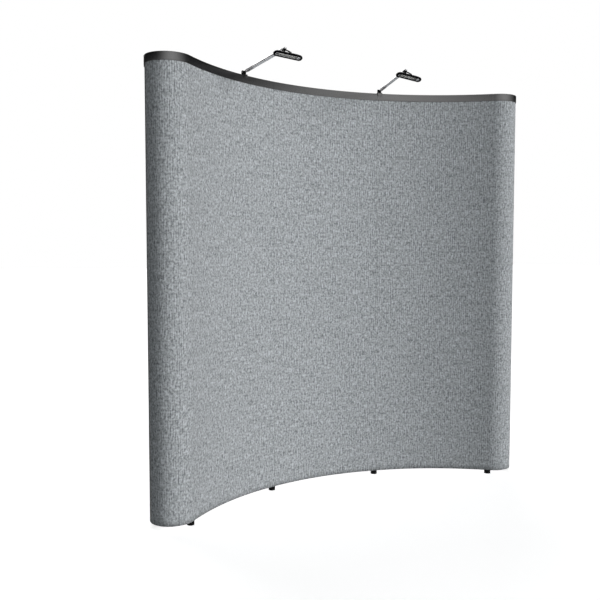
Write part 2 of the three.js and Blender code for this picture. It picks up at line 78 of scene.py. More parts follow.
CAP_REACH = 0.131
CAP_DEPTH = 0.219
EDGE_STRIP_TURN = math.radians(135)
EDGE_STRIP_SEAM = 0.006
EDGE_STRIP_CUT = 0.0012
EDGE_STRIP_POINTS = 40
CORNER_COVER_TURN = math.radians(144)
CAP_SAMPLES = 400
CAP_POINTS = 60

RAIL_PROUD = 0.0024
RAIL_WEB = 0.002
RAIL_FRONT_LIP = 0.040
RAIL_REAR_LIP = 0.022
RAIL_LIP_WALL = 0.002
RAIL_HOOK_GAP = 0.0006
RAIL_TOP_TURN = 0.001
CORNER_COVER_PROUD = 0.0034
RAIL_CORNER_CUT = 0.0009
RAIL_POINTS = 65
CORNER_COVER_DROP = 0.050
CORNER_COVER_CUT = 0.0016
CORNER_COVER_POINTS = 28

BAR_WIDTH = 0.026
BAR_DEPTH = 0.008
BAR_WALL = 0.002
BAR_FLOOR_GAP = 0.035
BAR_CUT = 0.0006
BAR_FLARE = 0.0003
BUTTON_RIM = 0.0008

HUB_RADIUS = 0.017
HUB_THICKNESS = 0.020
HUB_BORE = 0.0085
HUB_EDGE_INSET = 0.002
HUB_EDGE_HEIGHT = 0.0035
HUB_WAIST_INSET = 0.0018
HUB_WAIST_HALF = 0.0045
HUB_FLANGE_FROM = 0.0055
HUB_OVERLAP = 0.001
HUB_CUT = 0.0007
# The screw in a hub's inner face, as (radius, height over the face).
HUB_SCREW = (
    (0.0001, -0.0005), (0.0062, -0.0005), (0.0056, 0.0016),
    (0.0030, 0.0022), (0.0026, 0.0008), (0.0001, 0.0008),
)
HUB_SCREW_CUT = 0.0003
ROW_COUNT = 4
FIRST_ROW_HEIGHT = 0.075
LAST_ROW_DROP = 0.085
ROD_RADIUS = 0.005
ROD_STAGGER = 0.0055
RIVET_RADIUS = 0.003
RIVET_PROUD = 0.001
RIVET_HEAD = 0.0012
RIVET_HEAD_HEIGHTS = (0.0004, 0.0011, 0.0012)
CROSSED_ROD_GAP = 0.0008
FERRULE_RADIUS = 0.0064
FERRULE_LENGTH = 0.030
FERRULE_TAPER_FROM = 0.62
FERRULE_END = 0.0003
FERRULE_CUT = 0.0008

FOOT_RADIUS = 0.0185
FOOT_HEIGHT = 0.022
FOOT_STEM_RADIUS = 0.008
FOOT_BASE_HEIGHT = 0.004
FOOT_SHOULDER = 0.003
FOOT_INSET = 0.0002
FOOT_BASE_CUT = 0.0009
FOOT_BODY_CUT = 0.0012
FOOT_LOBES = 24
FOOT_LOBE_DEPTH = 0.0005
FOOT_THREAD = (0.0004, 0.0007)  # depth of a ridge, height of half a turn
FOOT_STEM_POINT = (0.001, 0.0015)  # inset and height of the stem's plain end

LOCK_ROW = 2
LOCK_COLUMNS = (1, 2)
LOCK_WIDTH = 0.0064
LOCK_HEIGHT = 0.010
LOCK_PIN_RADIUS = 0.002
LOCK_PIN_GAP = 0.0004
LOCK_LUG_REACH = 0.011
LOCK_LUG_WALL = 0.0025
LOCK_PIN_PROUD = 0.001
LOCK_LUG_CUT = 0.0025
LOCK_LUG_FLARE = 0.0004
LOCK_CUT = 0.0012
LOCK_FLARE = 0.0006

# ---- Sizes of an arm light ------------------------------------------------------------------

CLAMP_WIDTH = 0.026
CLAMP_TOP = 0.0036
CLAMP_JAW = 0.004
CLAMP_FRONT_DROP = 0.014
CLAMP_REAR_DROP = 0.028
CLAMP_GAP = 0.0004
CLAMP_CUT = 0.0014
CLAMP_FLARE = 0.0007
SCREW_ROOM = 0.006
SCREW_RADIUS = 0.003
SCREW_THREAD = (0.0002, 0.00035)
KNOB_RADIUS = 0.011
KNOB_THICKNESS = 0.009
KNOB_LOBES = 6
KNOB_LOBE_DEPTH = 0.0028
KNOB_CUT = 0.0008
# The knob from its seat to its outer face, as (inset from its radius, height from a face).
KNOB_SEAT = ((0.001, 0), (0, 0.002))
KNOB_FACE = ((0, 0.0015), (0.0025, 0))
POST_OFFSET = 0.008
POST_RADIUS = 0.0125
POST_THICKNESS = 0.0022
POST_RIM = 0.0009
PIVOT_HEIGHT = 0.012
EYE_RADIUS = 0.008
EYE_WIDTH = 0.011
EYE_FLARE = 0.0008
NECK_RADIUS = 0.0048
NECK_OVERLAPS = (0.001, 0.002)  # into the eye and into the sleeve
EAR_WALL = 0.0035
EAR_FOOT = 0.003
EAR_FLARE = 0.0006
PIVOT_PIN_RADIUS = 0.0025
PIVOT_HOLE_RADIUS = 0.0029
PIN_OVERLAP = 0.001
NUT_OVERLAP = 0.0005
PIVOT_NUT_RADIUS = 0.004
PIVOT_NUT_HEIGHT = 0.0025
ARM_LENGTH = 0.336
ARM_RADIUS = 0.0088
ARM_RIM = 0.003
SLEEVE_RADIUS = 0.0095
SLEEVE_START = 0.026
SLEEVE_END = 0.086
SLEEVE_CUT = 0.0006
# The sleeve's first end and its groove, as (inset from its radius, height).
SLEEVE_RINGS = (
    (0.0006, 0), (0, 0.0015), (0, 0.010), (0.0007, 0.0105), (0.0007, 0.0125), (0, 0.013),
)
SLEEVE_TAPER = 0.004
SLEEVE_LIP = 0.0002
SLEEVE_DEPTH = 0.001
TIP_RADIUS = 0.007
TIP_THICKNESS = 0.006
TIP_TONGUE = 0.020
TIP_OVERLAP = 0.002
BOSS_THICKNESS = 0.007
BOSS_RIM = 0.0009
CAP_RADIUS = 0.005
CAP_THICKNESS = 0.003
CAP_RIM = 0.0012
BRACKET_REACH = 0.026
BRACKET_DROP = 0.030
BRACKET_ELBOW = 0.45
BRACKET_LEG_RADIUS = 0.0033
BRACKET_EAR_RADIUS = 0.006
BRACKET_EAR_WALL = 0.0035
BRACKET_EAR_OFFSET = 0.019
BRACKET_PIN_RADIUS = 0.002
BRACKET_NUT_RADIUS = 0.0036
BRACKET_NUT_HEIGHT = 0.0015
BRACKET_ROOT_X = 0.003
BRACKET_BEND = 0.009
BRACKET_EAR_RIM = 0.0008
BRACKET_NUT_RIM = 0.0005
HEAD_TILT = math.radians(-22)
HEAD_LUG_WALL = 0.0035
HEAD_LUG_RADIUS = 0.005
HEAD_LUG_HOLE = 0.0024
HEAD_LUG_FLARE = 0.0006
HEAD_LUG_OVERLAP = 0.001
# The housing and its hollow pass through rings of (half length, half width, height).
HEAD_RINGS = (
    (0.056, 0.0085, -0.007), (0.068, 0.012, -0.013),
    (0.077, 0.0163, -0.020), (0.077, 0.0163, -0.026),
)
HOLLOW_RINGS = (
    (0.0655, 0.0079, -0.027), (0.0655, 0.0079, -0.021),
    (0.0615, 0.0070, -0.015), (0.054, 0.005, -0.010),
)
HEAD_CROWN = (0.030, 0.003)
HOLLOW_CROWN = (0.030, 0.002)
REFLECTOR_CROWN = (0.030, 0.0025)
HEAD_CUT = 0.008
HEAD_RIM_CUT = 0.003
HOLLOW_CUT = 0.004
REFLECTOR_WALL = 0.0014
REFLECTOR_MOUTH = -0.025
LAMP_HEIGHT = -0.017
LAMP_RADIUS = 0.0032
LAMP_HALF_LENGTH = 0.0540
LAMP_SOCKET_RADIUS = 0.004
LAMP_SOCKET_LENGTH = 0.009
LAMP_RIM = 0.0015
LAMP_SOCKET_RIM = 0.0009
CLIP_RADIUS = 0.0009
CLIP_RISE = 0.007
CLIP_POINTS = 25

# ---- Places worked out from them --------------------------------------------------------------

BAR_BACK = PANEL_THICKNESS + CLEARANCE + BAR_DEPTH
FRONT_HUB_DEPTH = BAR_BACK + CLEARANCE + HUB_THICKNESS / 2
REAR_HUB_DEPTH = CAP_DEPTH - FRONT_HUB_DEPTH
RAIL_HOOK = BAR_BACK + RAIL_HOOK_GAP
RAIL_BACK = RAIL_HOOK + RAIL_LIP_WALL
PANEL_TOP = WALL_HEIGHT - RAIL_WEB - CLEARANCE
CAP_HALF_DEPTH = CAP_DEPTH / 2
CAP_FLAT = BAR_WIDTH / 2
CAP_WIDTH = CAP_REACH - CAP_FLAT


def column_angle(index):
    return (index - BAY_COUNT / 2) * BAY_ANGLE


def row_height(index):
    last = WALL_HEIGHT - LAST_ROW_DROP
    return FIRST_ROW_HEIGHT + index * (last - FIRST_ROW_HEIGHT) / (ROW_COUNT - 1)


# The second front foot tells where the arc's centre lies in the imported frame.
foot_low, foot_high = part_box("front_foot_2")
COLUMN_RADIUS = FRONT_RADIUS + FRONT_HUB_DEPTH
ARC_CENTRE_Y = (foot_low.y + foot_high.y) / 2 - COLUMN_RADIUS * math.cos(column_angle(1))


def turned(angle):
    """The local frame at an angle along the arc, to the right of its middle."""
    return Matrix.Translation((0, ARC_CENTRE_Y, 0)) @ Matrix.Rotation(-angle, 4, "Z")


def frame_of(origin, x_axis, y_axis, z_axis):
    rows = Matrix((x_axis, y_axis, z_axis)).transposed().to_4x4()
    return Matrix.Translation(origin) @ rows


# ---- Surfaces ---------------------------------------------------------------------------------

TINY = 1e-12  # keeps an edge of no length from a division by zero, and full turns apart
ON_AXIS = 1e-4  # the radius at which a turned profile starts and ends
ROD_RIM = 0.0004
LARGEST_CUT = 0.45  # share of the shorter edge at a corner


class Shape:
    """Points [n, xyz] with four-cornered and three-cornered faces that point outwards."""

    def __init__(self, points, quads=(), triangles=()):
        self.points = np.asarray(points, float).reshape(-1, 3)
        self.quads = np.asarray(quads, int).reshape(-1, 4)
        self.triangles = np.asarray(triangles, int).reshape(-1, 3)

    def volume(self):
        """A sixth of the sum over all triangles of a . (b x c)."""
        halves = [self.triangles, self.quads[:, [0, 1, 2]], self.quads[:, [0, 2, 3]]]
        a, b, c = (self.points[np.concatenate(halves)[:, corner]] for corner in range(3))
        return float((a * np.cross(b, c)).sum()) / 6

    def outward(self):
        if self.volume() >= 0:
            return self
        return Shape(self.points, self.quads[:, ::-1], self.triangles[:, ::-1])

    def moved(self, matrix):
        m = np.array(matrix)
        return Shape(self.points @ m[:3, :3].T + m[:3, 3], self.quads, self.triangles)


def skin(points, round_columns=True, caps=True):
    """Faces of a grid [row, column, xyz]: each cell is a quad, round columns join the last to the
    first, and caps close the first and the last row with a fan about the row's mean."""
    rows, columns = points.shape[:2]
    i = np.arange(rows - 1)[:, None] * columns
    j = np.arange(columns if round_columns else columns - 1)[None, :]
    after = (j + 1) % columns
    quads = np.stack([i + j, i + after, i + columns + after, i + columns + j], axis=-1).reshape(-1, 4)
    flat = points.reshape(-1, 3)
    if not caps:
        return Shape(flat, quads)
    around = np.arange(columns)
    ahead = (around + 1) % columns
    last = (rows - 1) * columns
    low = np.stack([np.full(columns, len(flat)), ahead, around], axis=-1)
    high = np.stack([np.full(columns, len(flat) + 1), last + around, last + ahead], axis=-1)
    middles = points[[0, -1]].mean(axis=1)
    return Shape(np.concatenate([flat, middles]), quads, np.concatenate([low, high])).outward()


def rounded(outline, radius, steps=4, closed=True):
    """Cuts each corner p of an outline back by radius, to a and b, and bridges the cut with the
    parabola (1-s)^2 a + 2s(1-s) p + s^2 b. A cut takes at most a set share of its shorter edge."""
    p = np.asarray(outline, float)
    back, ahead = np.roll(p, 1, axis=0) - p, np.roll(p, -1, axis=0) - p
    back_length = np.linalg.norm(back, axis=1, keepdims=True)
    ahead_length = np.linalg.norm(ahead, axis=1, keepdims=True)
    cut = np.minimum(radius, LARGEST_CUT * np.minimum(back_length, ahead_length))
    a, b = p + back / back_length * cut, p + ahead / ahead_length * cut
    s = np.linspace(0, 1, steps + 1)[None, :, None]
    arcs = (1 - s) ** 2 * a[:, None] + 2 * s * (1 - s) * p[:, None] + s**2 * b[:, None]
    if closed:
        return arcs.reshape(-1, p.shape[1])
    return np.concatenate([p[:1], arcs[1:-1].reshape(-1, p.shape[1]), p[-1:]])


def unit(rows):
    return rows / (np.linalg.norm(rows, axis=1, keepdims=True) + TINY)


def signed_area(outline):
    """Twice the area inside a closed plane outline, below zero when it runs clockwise."""
    following = np.roll(outline, -1, axis=0)
    return (outline[:, 0] * following[:, 1] - outline[:, 1] * following[:, 0]).sum()


def grown(outline, distance):
    """Moves each point of a closed plane outline outwards, along the mean normal of its two edges."""
    edge = np.roll(outline, -1, axis=0) - outline
    normal = unit(np.stack([edge[:, 1], -edge[:, 0]], axis=1))
    mean = unit(normal + np.roll(normal, 1, axis=0))
    return outline + math.copysign(distance, signed_area(outline)) * mean


def end_faces(outlines):
    """Triangles that fill a plane outline with any holes in it."""
    loops = [[Vector((x, y, 0)) for x, y in outline] for outline in outlines]
    return np.array(tessellate_polygon(loops), int)


def prism(outline, low, high, flare=0.0, holes=(), steps=3):
    """A plane outline carried from low to high along z. Both its rims widen by a quarter circle of
    the flare's radius. Holes go straight through, and their rims widen in the same way."""
    turn = np.linspace(0, math.pi / 2, steps + 1) if flare else np.array([math.pi / 2])
    wider = flare * (1 - np.sin(turn))
    rise = flare * (1 - np.cos(turn))
    levels = np.concatenate([low + rise, (high - rise)[::-1]])
    steps_out = np.concatenate([wider, wider[::-1]])
    loops, points, quads, total = [], [], [], 0
    for number, loop in enumerate([outline, *holes]):
        loop = np.asarray(loop, float)
        rings = [np.column_stack([grown(loop, out), np.full(len(loop), z)])
                 for out, z in zip(steps_out, levels)]
        wall = skin(np.array(rings), caps=False)
        quads.append((wall.quads if number == 0 else wall.quads[:, ::-1]) + total)
        points.append(wall.points)
        loops.append((total, len(loop)))
        total += len(wall.points)
    points = np.concatenate(points)
    fill = end_faces([points[start : start + count, :2] for start, count in loops])
    bottoms = np.concatenate([np.arange(start, start + count) for start, count in loops])
    last = len(levels) - 1
    tops = np.concatenate([np.arange(count) + start + last * count for start, count in loops])
    low_face, high_face = bottoms[fill], tops[fill]
    if signed_area(points[low_face[0]]) > 0:
        low_face = low_face[:, ::-1]
    else:
        high_face = high_face[:, ::-1]
    sides = np.concatenate(quads)
    if signed_area(np.asarray(outline, float)) < 0:
        sides = sides[:, ::-1]
    return Shape(points, sides, np.concatenate([low_face, high_face]))


def circle(radius, sides=32, middle=(0.0, 0.0), start=0.0, end=2 * math.pi):
    turn = np.linspace(start, end, sides, endpoint=end - start < 2 * math.pi - TINY)
    return np.column_stack([middle[0] + radius * np.cos(turn), middle[1] + radius * np.sin(turn)])


def lathe(profile, sides=32, lobes=0, lobe_depth=0.0):
    """A profile of (radius, height) turned about z. Lobes press waves of a depth into the radius:
    r (1 - depth/r_max * (1 - cos(lobes * turn)) / 2)."""
    profile = np.asarray(profile, float)
    turn = np.arange(sides) * 2 * math.pi / sides
    wave = 1 - lobe_depth / profile[:, 0].max() * (1 - np.cos(lobes * turn)) / 2
    radius = profile[:, :1] * wave[None, :]
    height = np.repeat(profile[:, 1:], sides, axis=1)
    return skin(np.stack([radius * np.cos(turn), radius * np.sin(turn), height], axis=-1))


def spun(profile, cut, sides=32, steps=4, **lobes):
    """A profile of (radius, height) with its corners cut back, turned about z."""
    return lathe(rounded(profile, cut, steps, closed=False), sides, **lobes)


def barrel(radius, length, rim, sides):
    """A round bar from 0 to length along z with turned rims."""
    return spun([(ON_AXIS, 0), (radius, 0), (radius, length), (ON_AXIS, length)], rim, sides)


def thread(radius, ridge, start, end):
    """The profile of a thread: heights a step apart, with radius r - depth + depth cos(pi n)."""
    depth, step = ridge
    heights = np.arange(start, end, step)
    return np.column_stack([radius - depth + depth * np.cos(np.arange(len(heights)) * math.pi), heights])


def along(start, end):
    """The frame at start whose z runs towards end."""
    start, end = Vector(start), Vector(end)
    return Matrix.Translation(start) @ (end - start).to_track_quat("Z", "Y").to_matrix().to_4x4()


def rod(start, end, radius, rim=ROD_RIM, sides=20):
    return barrel(radius, (Vector(end) - Vector(start)).length, rim, sides).moved(along(start, end))


def tube(path, radius, side=None, sides=18):
    """A circle carried along a path [n, xyz], in the frame of side and side x t, with t the path's
    direction. Side is t x (0, 1, 0) unless it's given."""
    path = np.asarray(path, float)
    direction = unit(np.gradient(path, axis=0))
    if side is None:
        side = unit(np.cross(direction, [0.0, 1.0, 0.0]))
    side = np.broadcast_to(side, path.shape)
    up = np.cross(side, direction)
    turn = np.arange(sides) * 2 * math.pi / sides
    ring = side[:, None] * np.cos(turn)[None, :, None] + up[:, None] * np.sin(turn)[None, :, None]
    return skin(path[:, None] + radius * ring)


# Takes (a, b, c) to (x = c, y = a, z = b), so a prism runs along x.
X_UP = Matrix(((0, 0, 1, 0), (1, 0, 0, 0), (0, 1, 0, 0), (0, 0, 0, 1)))


def piece(name, body, parts, nodes=(), sharp=32, uv=None):
    """One object of several (shape, material) parts, in place, riding on its body."""
    mesh = bpy.data.meshes.new(name)
    points, quads, triangles, quad_finish, triangle_finish, finishes = [], [], [], [], [], []
    count = 0
    for shape, finish in parts:
        if finish not in finishes:
            finishes.append(finish)
        points.append(shape.points)
        quads.append(shape.quads + count)
        triangles.append(shape.triangles + count)
        quad_finish.append(np.full(len(shape.quads), finishes.index(finish)))
        triangle_finish.append(np.full(len(shape.triangles), finishes.index(finish)))
        count += len(shape.points)
    quads, triangles = np.concatenate(quads), np.concatenate(triangles)
    corners = np.concatenate([quads.ravel(), triangles.ravel()])
    starts = np.concatenate([
        np.arange(len(quads)) * 4, len(quads) * 4 + np.arange(len(triangles)) * 3])
    mesh.vertices.add(count)
    mesh.vertices.foreach_set("co", np.concatenate(points).astype(np.float32).ravel())
    mesh.loops.add(len(corners))
    mesh.loops.foreach_set("vertex_index", corners.astype(np.int32))
    mesh.polygons.add(len(starts))
    mesh.polygons.foreach_set("loop_start", starts.astype(np.int32))
    finish_numbers = np.concatenate(quad_finish + triangle_finish).astype(np.int32)
    mesh.polygons.foreach_set("material_index", finish_numbers)
    mesh.polygons.foreach_set("use_smooth", np.ones(len(starts), bool))
    mesh.update(calc_edges=True)
    if uv is not None:
        layer = mesh.uv_layers.new(name="cloth")
        layer.data.foreach_set("uv", uv[corners].astype(np.float32).ravel())
    mesh.set_sharp_from_angle(angle=math.radians(sharp))
    for finish in finishes:
        mesh.materials.append(finish)
    made = bpy.data.objects.new(name, mesh)
    bpy.context.scene.collection.objects.link(made)
    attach(made, body)
    if nodes:
        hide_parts(*nodes)
    return made


# ---- Materials ----------------------------------------------------------------------------------


def node(tree, kind, sockets=None, **settings):
    """Adds a shader node. A socket's value is a constant, or another node's output to link."""
    made = tree.nodes.new(kind)
    for key, value in settings.items():
        setattr(made, key, value)
    for key, value in (sockets or {}).items():
        if isinstance(value, bpy.types.NodeSocket):
            tree.links.new(value, made.inputs[key])
        else:
            made.inputs[key].default_value = value
    return made


def math_node(tree, operation, first, second=None, third=None):
    values = {number: value for number, value in enumerate((first, second, third)) if value is not None}
    return node(tree, "ShaderNodeMath", values, operation=operation).outputs[0]


def stretched(tree, vector, scale, **noise):
    """Noise on a vector that is scaled differently along each axis; its output is about 0.5."""
    scaled = node(tree, "ShaderNodeVectorMath", {0: vector, 1: scale}, operation="MULTIPLY").outputs[0]
    sockets = {"Vector": scaled, "Scale": 1.0, "Detail": 2.0, "Roughness": 0.55}
    return node(tree, "ShaderNodeTexNoise", {**sockets, **noise}).outputs[0]


def new_group(name, inputs, outputs):
    group = bpy.data.node_groups.new(name, "ShaderNodeTree")
    for label, kind, value in inputs:
        socket = group.interface.new_socket(label, in_out="INPUT", socket_type=kind)
        if value is not None:
            socket.default_value = value
    for label, kind in outputs:
        group.interface.new_socket(label, in_out="OUTPUT", socket_type=kind)
    return group, node(group, "NodeGroupInput").outputs, node(group, "NodeGroupOutput").inputs


NOISE_MIDDLE = 0.5
BLOTCH_SCALE = (38.0, 38.0, 38.0)
FINE_SCALE = (900.0, 900.0, 900.0)
FINE_MIDDLE = 0.42
FINE_SWING = 0.35
WORN_SCALE = (26.0, 26.0, 26.0)
WORN_SWING = 0.3
LINE_SWING = 0.35
ROUGHNESS_LIMITS = (0.05, 1.0)
GRAIN_HEIGHT = 0.0002
LINE_HEIGHT = 0.0001


def swung(tree, value, middle, weight):
    """How far a value lies from its middle, times a weight."""
    return math_node(tree, "MULTIPLY", math_node(tree, "SUBTRACT", value, middle), weight)


def limited(tree, value, limits):
    return node(tree, "ShaderNodeClamp", {0: value, 1: limits[0], 2: limits[1]}).outputs[0]


def effect_group(name, build, inputs):
    """A node group that gives a colour, a roughness and a height from a position, a tone, a
    roughness and further inputs. Build returns the tone's factor, the roughness and the height."""
    group, given, out = new_group(
        name,
        [("Position", "NodeSocketVector", None), ("Tone", "NodeSocketColor", None),
         ("Roughness", "NodeSocketFloat", None), *inputs],
        [("Color", "NodeSocketColor"), ("Roughness", "NodeSocketFloat"), ("Height", "NodeSocketFloat")],
    )
    factor, rough, height = build(group, given)
    tone = node(group, "ShaderNodeVectorMath", {0: given["Tone"], "Scale": factor}, operation="SCALE")
    group.links.new(tone.outputs[0], out["Color"])
    group.links.new(limited(group, rough, ROUGHNESS_LIMITS), out["Roughness"])
    group.links.new(height, out["Height"])
    return group


def moulded_grain(group, given):
    """Fine pebbled grain with faint blotches and settled dust, for plastic and powder coat."""
    cells = node(group, "ShaderNodeTexVoronoi", {"Vector": given["Position"], "Scale": given["Grain"]})
    blotch = stretched(group, given["Position"], BLOTCH_SCALE, Detail=4.0)
    fine = stretched(group, given["Position"], FINE_SCALE)
    swing = swung(group, blotch, NOISE_MIDDLE, given["Spread"])
    rougher = swung(group, fine, FINE_MIDDLE, FINE_SWING)
    rough = math_node(group, "ADD", math_node(group, "ADD", given["Roughness"], rougher), swing)
    return math_node(group, "ADD", 1.0, swing), rough, cells.outputs["Distance"]


def drawn_metal(group, given):
    """Fine lines along one axis with worn patches, for drawn tube and extruded bar."""
    lines = stretched(group, given["Position"], given["Lines"], Detail=3.0, Roughness=0.5)
    worn = stretched(group, given["Position"], WORN_SCALE, Detail=5.0)
    swing = swung(group, lines, NOISE_MIDDLE, LINE_SWING)
    patch = swung(group, worn, NOISE_MIDDLE, WORN_SWING)
    factor = math_node(group, "ADD", math_node(group, "ADD", 1.0, swing), patch)
    rough = math_node(group, "ADD", math_node(group, "ADD", given["Roughness"], swing), patch)
    return factor, rough, lines


GRAIN = effect_group("moulded_grain", moulded_grain,
                     [("Grain", "NodeSocketFloat", None), ("Spread", "NodeSocketFloat", None)])
DRAWN = effect_group("drawn_metal", drawn_metal, [("Lines", "NodeSocketVector", None)])


def new_material(name, **constants):
    """A material with a Principled shader whose named sockets hold constants."""
    made = bpy.data.materials.new(name)
    made.use_nodes = True
    tree = made.node_tree
    shader = tree.nodes["Principled BSDF"]
    for key, value in constants.items():
        shader.inputs[key.replace("_", " ")].default_value = value
    return made, tree, shader


def bumped(tree, shader, height, strength, distance):
    bump = node(tree, "ShaderNodeBump", {"Height": height, "Strength": strength, "Distance": distance})
    tree.links.new(bump.outputs[0], shader.inputs["Normal"])


def surfaced(name, effect, sockets, bump, distance, **constants):
    """A material whose colour, roughness and bump come from an effect on Object coordinates."""
    made, tree, shader = new_material(name, **constants)
    place = node(tree, "ShaderNodeTexCoord").outputs["Object"]
    given = node(tree, "ShaderNodeGroup", {"Position": place, **sockets}, node_tree=effect).outputs
    tree.links.new(given["Color"], shader.inputs["Base Color"])
    tree.links.new(given["Roughness"], shader.inputs["Roughness"])
    bumped(tree, shader, given["Height"], bump, distance)
    return made


def grained(name, tone, roughness, grain=1400.0, spread=0.3, bump=0.15, **constants):
    """Plastic, rubber or powder coat with the moulded grain."""
    sockets = {"Grain": grain, "Tone": (*tone, 1), "Spread": spread, "Roughness": roughness}
    return surfaced(name, GRAIN, sockets, bump, GRAIN_HEIGHT, **constants)


def drawn(name, tone, roughness, lines, bump=0.1, metallic=1.0):
    """Metal with fine drawn lines."""
    sockets = {"Lines": lines, "Tone": (*tone, 1), "Roughness": roughness}
    return surfaced(name, DRAWN, sockets, bump, LINE_HEIGHT, Metallic=metallic)


DARK_YARN = (0.205, 0.217, 0.228, 1)
PALE_YARN = (0.690, 0.722, 0.748, 1)
# Each pattern of the cloth: scale along length and height, weight in the tone, noise settings.
CLOTH_PATTERNS = (
    ((94.0, 92.0, 1.0), 2.3, {"Detail": 3.0, "Roughness": 0.6}),  # flecks
    ((160.0, 28.0, 1.0), 1.65, {}),  # short upright streaks
    ((7.0, 70.0, 1.0), 0.32, {"Distortion": 0.4}),  # waves across
    ((4.0, 5.0, 1.0), 0.12, {}),  # clouds
)
SWAY_SCALE = (9.0, 17.0, 1.0)
SWAY_PHASE = 3.0
# Painted shade: how much paler the rib crests and darker the rib grooves are mixed.
RIB_GROOVE_SHADE = 0.26
RIB_HEIGHT = 0.6
LOOP_SCALE = (430.0, 300.0, 1.0)
LOOP_MIDDLE = 0.45
# Painted shade: how much paler the loop tops and darker the gaps between loops are mixed.
LOOP_GAP_SHADE = 0.3
CLOTH_BUMP = 0.35
CLOTH_BUMP_DISTANCE = 0.0006


def heather_cloth():
    """Grey loop cloth, on a UV map in metres: upright ribs, dark and pale yarns mixed in flecks,
    short upright streaks, faint waves across, and single loops close up. Painted shade: rib crests
    and loop tops are mixed paler, and rib grooves and the gaps between loops darker."""
    made, tree, shader = new_material(
        "ribbed_heather_cloth", Roughness=0.95, Specular_IOR_Level=0.15,
        Sheen_Weight=0.08, Sheen_Roughness=0.6)
    place = node(tree, "ShaderNodeUVMap", uv_map="cloth").outputs[0]
    length = node(tree, "ShaderNodeSeparateXYZ", {0: place}).outputs[0]
    sway = stretched(tree, place, SWAY_SCALE)
    phase = math_node(tree, "MULTIPLY", length, 2 * math.pi / RIB_PITCH)
    phase = math_node(tree, "ADD", phase, math_node(tree, "MULTIPLY", sway, SWAY_PHASE))
    rib = math_node(tree, "MULTIPLY", math_node(tree, "COSINE", phase), 0.5)
    loops = node(tree, "ShaderNodeVectorMath", {0: place, 1: LOOP_SCALE}, operation="MULTIPLY")
    cells = node(tree, "ShaderNodeTexVoronoi", {"Vector": loops.outputs[0], "Scale": 1.0})
    loop = cells.outputs["Distance"]
    tone = 0.5
    for scale, weight, noise in CLOTH_PATTERNS:
        swing = swung(tree, stretched(tree, place, scale, **noise), NOISE_MIDDLE, weight)
        tone = math_node(tree, "ADD", swing, tone)
    # Painted shade: rib grooves mixed darker and crests paler, following the bump's rib.
    tone = math_node(tree, "ADD", tone, math_node(tree, "MULTIPLY", rib, RIB_GROOVE_SHADE))
    # Painted shade: gaps between loops mixed darker and loop tops paler, following the bump's height.
    painted_loop_shade = math_node(tree, "MULTIPLY", math_node(tree, "SUBTRACT", LOOP_MIDDLE, loop), LOOP_GAP_SHADE)
    tone = math_node(tree, "ADD", tone, painted_loop_shade)
    yarns = {"Factor": tone, "A": DARK_YARN, "B": PALE_YARN}
    mixed = node(tree, "ShaderNodeMix", yarns, data_type="RGBA")
    mixed.clamp_factor = True
    tree.links.new(mixed.outputs["Result"], shader.inputs["Base Color"])
    height = math_node(tree, "SUBTRACT", math_node(tree, "MULTIPLY", rib, RIB_HEIGHT), loop)
    bumped(tree, shader, height, CLOTH_BUMP, CLOTH_BUMP_DISTANCE)
    return made


HAZE_SCALE = (160.0, 160.0, 160.0)
HAZE_MIDDLE = 0.3
HAZE_SWING = 0.25
HAZE_LIMITS = (0.02, 0.4)


def quartz_glass():
    """Clear lamp tube with a slight haze."""
    made, tree, shader = new_material(
        "quartz_tube", Base_Color=(0.96, 0.95, 0.9, 1), Transmission_Weight=0.75, IOR=1.46)
    place = node(tree, "ShaderNodeTexCoord").outputs["Object"]
    haze = stretched(tree, place, HAZE_SCALE, Detail=3.0)
    rough = limited(tree, swung(tree, haze, HAZE_MIDDLE, HAZE_SWING), HAZE_LIMITS)
    tree.links.new(rough, shader.inputs["Roughness"])
    return made


CLOTH = heather_cloth()
BACKING = grained("panel_backing", (0.30, 0.30, 0.31), 0.6, grain=500.0, spread=0.2, bump=0.1)
RAIL_BLACK = grained("satin_black_rail", (0.003, 0.003, 0.0033), 0.30, grain=2200.0, spread=0.12,
                     bump=0.03, IOR=2.0)
EDGE_BLACK = grained("black_edge_vinyl", (0.008, 0.008, 0.0085), 0.6, grain=900.0, bump=0.12,
                     Specular_IOR_Level=0.15)
BAR_METAL = drawn("anodised_bar", (0.33, 0.335, 0.345), 0.34, (1100.0, 1100.0, 9.0))
ROD_METAL = drawn("satin_rod", (0.74, 0.745, 0.755), 0.26, (700.0, 700.0, 60.0))
HUB_BLACK = grained("moulded_hub", (0.018, 0.018, 0.019), 0.42, grain=1600.0, bump=0.12)
STEEL = drawn("plated_steel", (0.62, 0.61, 0.60), 0.24, (300.0, 300.0, 300.0))
FOOT_BLACK = grained("moulded_foot", (0.003, 0.003, 0.0033), 0.5, grain=1100.0, bump=0.15,
                     Specular_IOR_Level=0.1)
FOOT_RUBBER = grained("foot_rubber", (0.006, 0.006, 0.006), 0.8, grain=800.0, bump=0.2,
                      Specular_IOR_Level=0.1)
LOCK_BLACK = grained("moulded_lock", (0.026, 0.026, 0.028), 0.45, grain=1500.0, bump=0.1)
CLAMP_BLACK = grained("powder_coated_clamp", (0.004, 0.004, 0.0045), 0.42, grain=1900.0, bump=0.15,
                      Specular_IOR_Level=0.2)
SLEEVE_GREY = drawn("satin_sleeve", (0.55, 0.54, 0.55), 0.28, (160.0, 160.0, 160.0),
                    bump=0.01, metallic=0.9)
ARM_CHROME = drawn("polished_arm", (0.96, 0.95, 0.96), 0.13, (160.0, 160.0, 160.0),
                   bump=0.01, metallic=0.9)
HEAD_BLACK = grained("powder_coated_head", (0.002, 0.002, 0.0023), 0.45, grain=1900.0, bump=0.12,
                     Specular_IOR_Level=0.04)
MIRROR = drawn("bright_reflector", (0.74, 0.745, 0.76), 0.22, (240.0, 240.0, 240.0), bump=0.05)
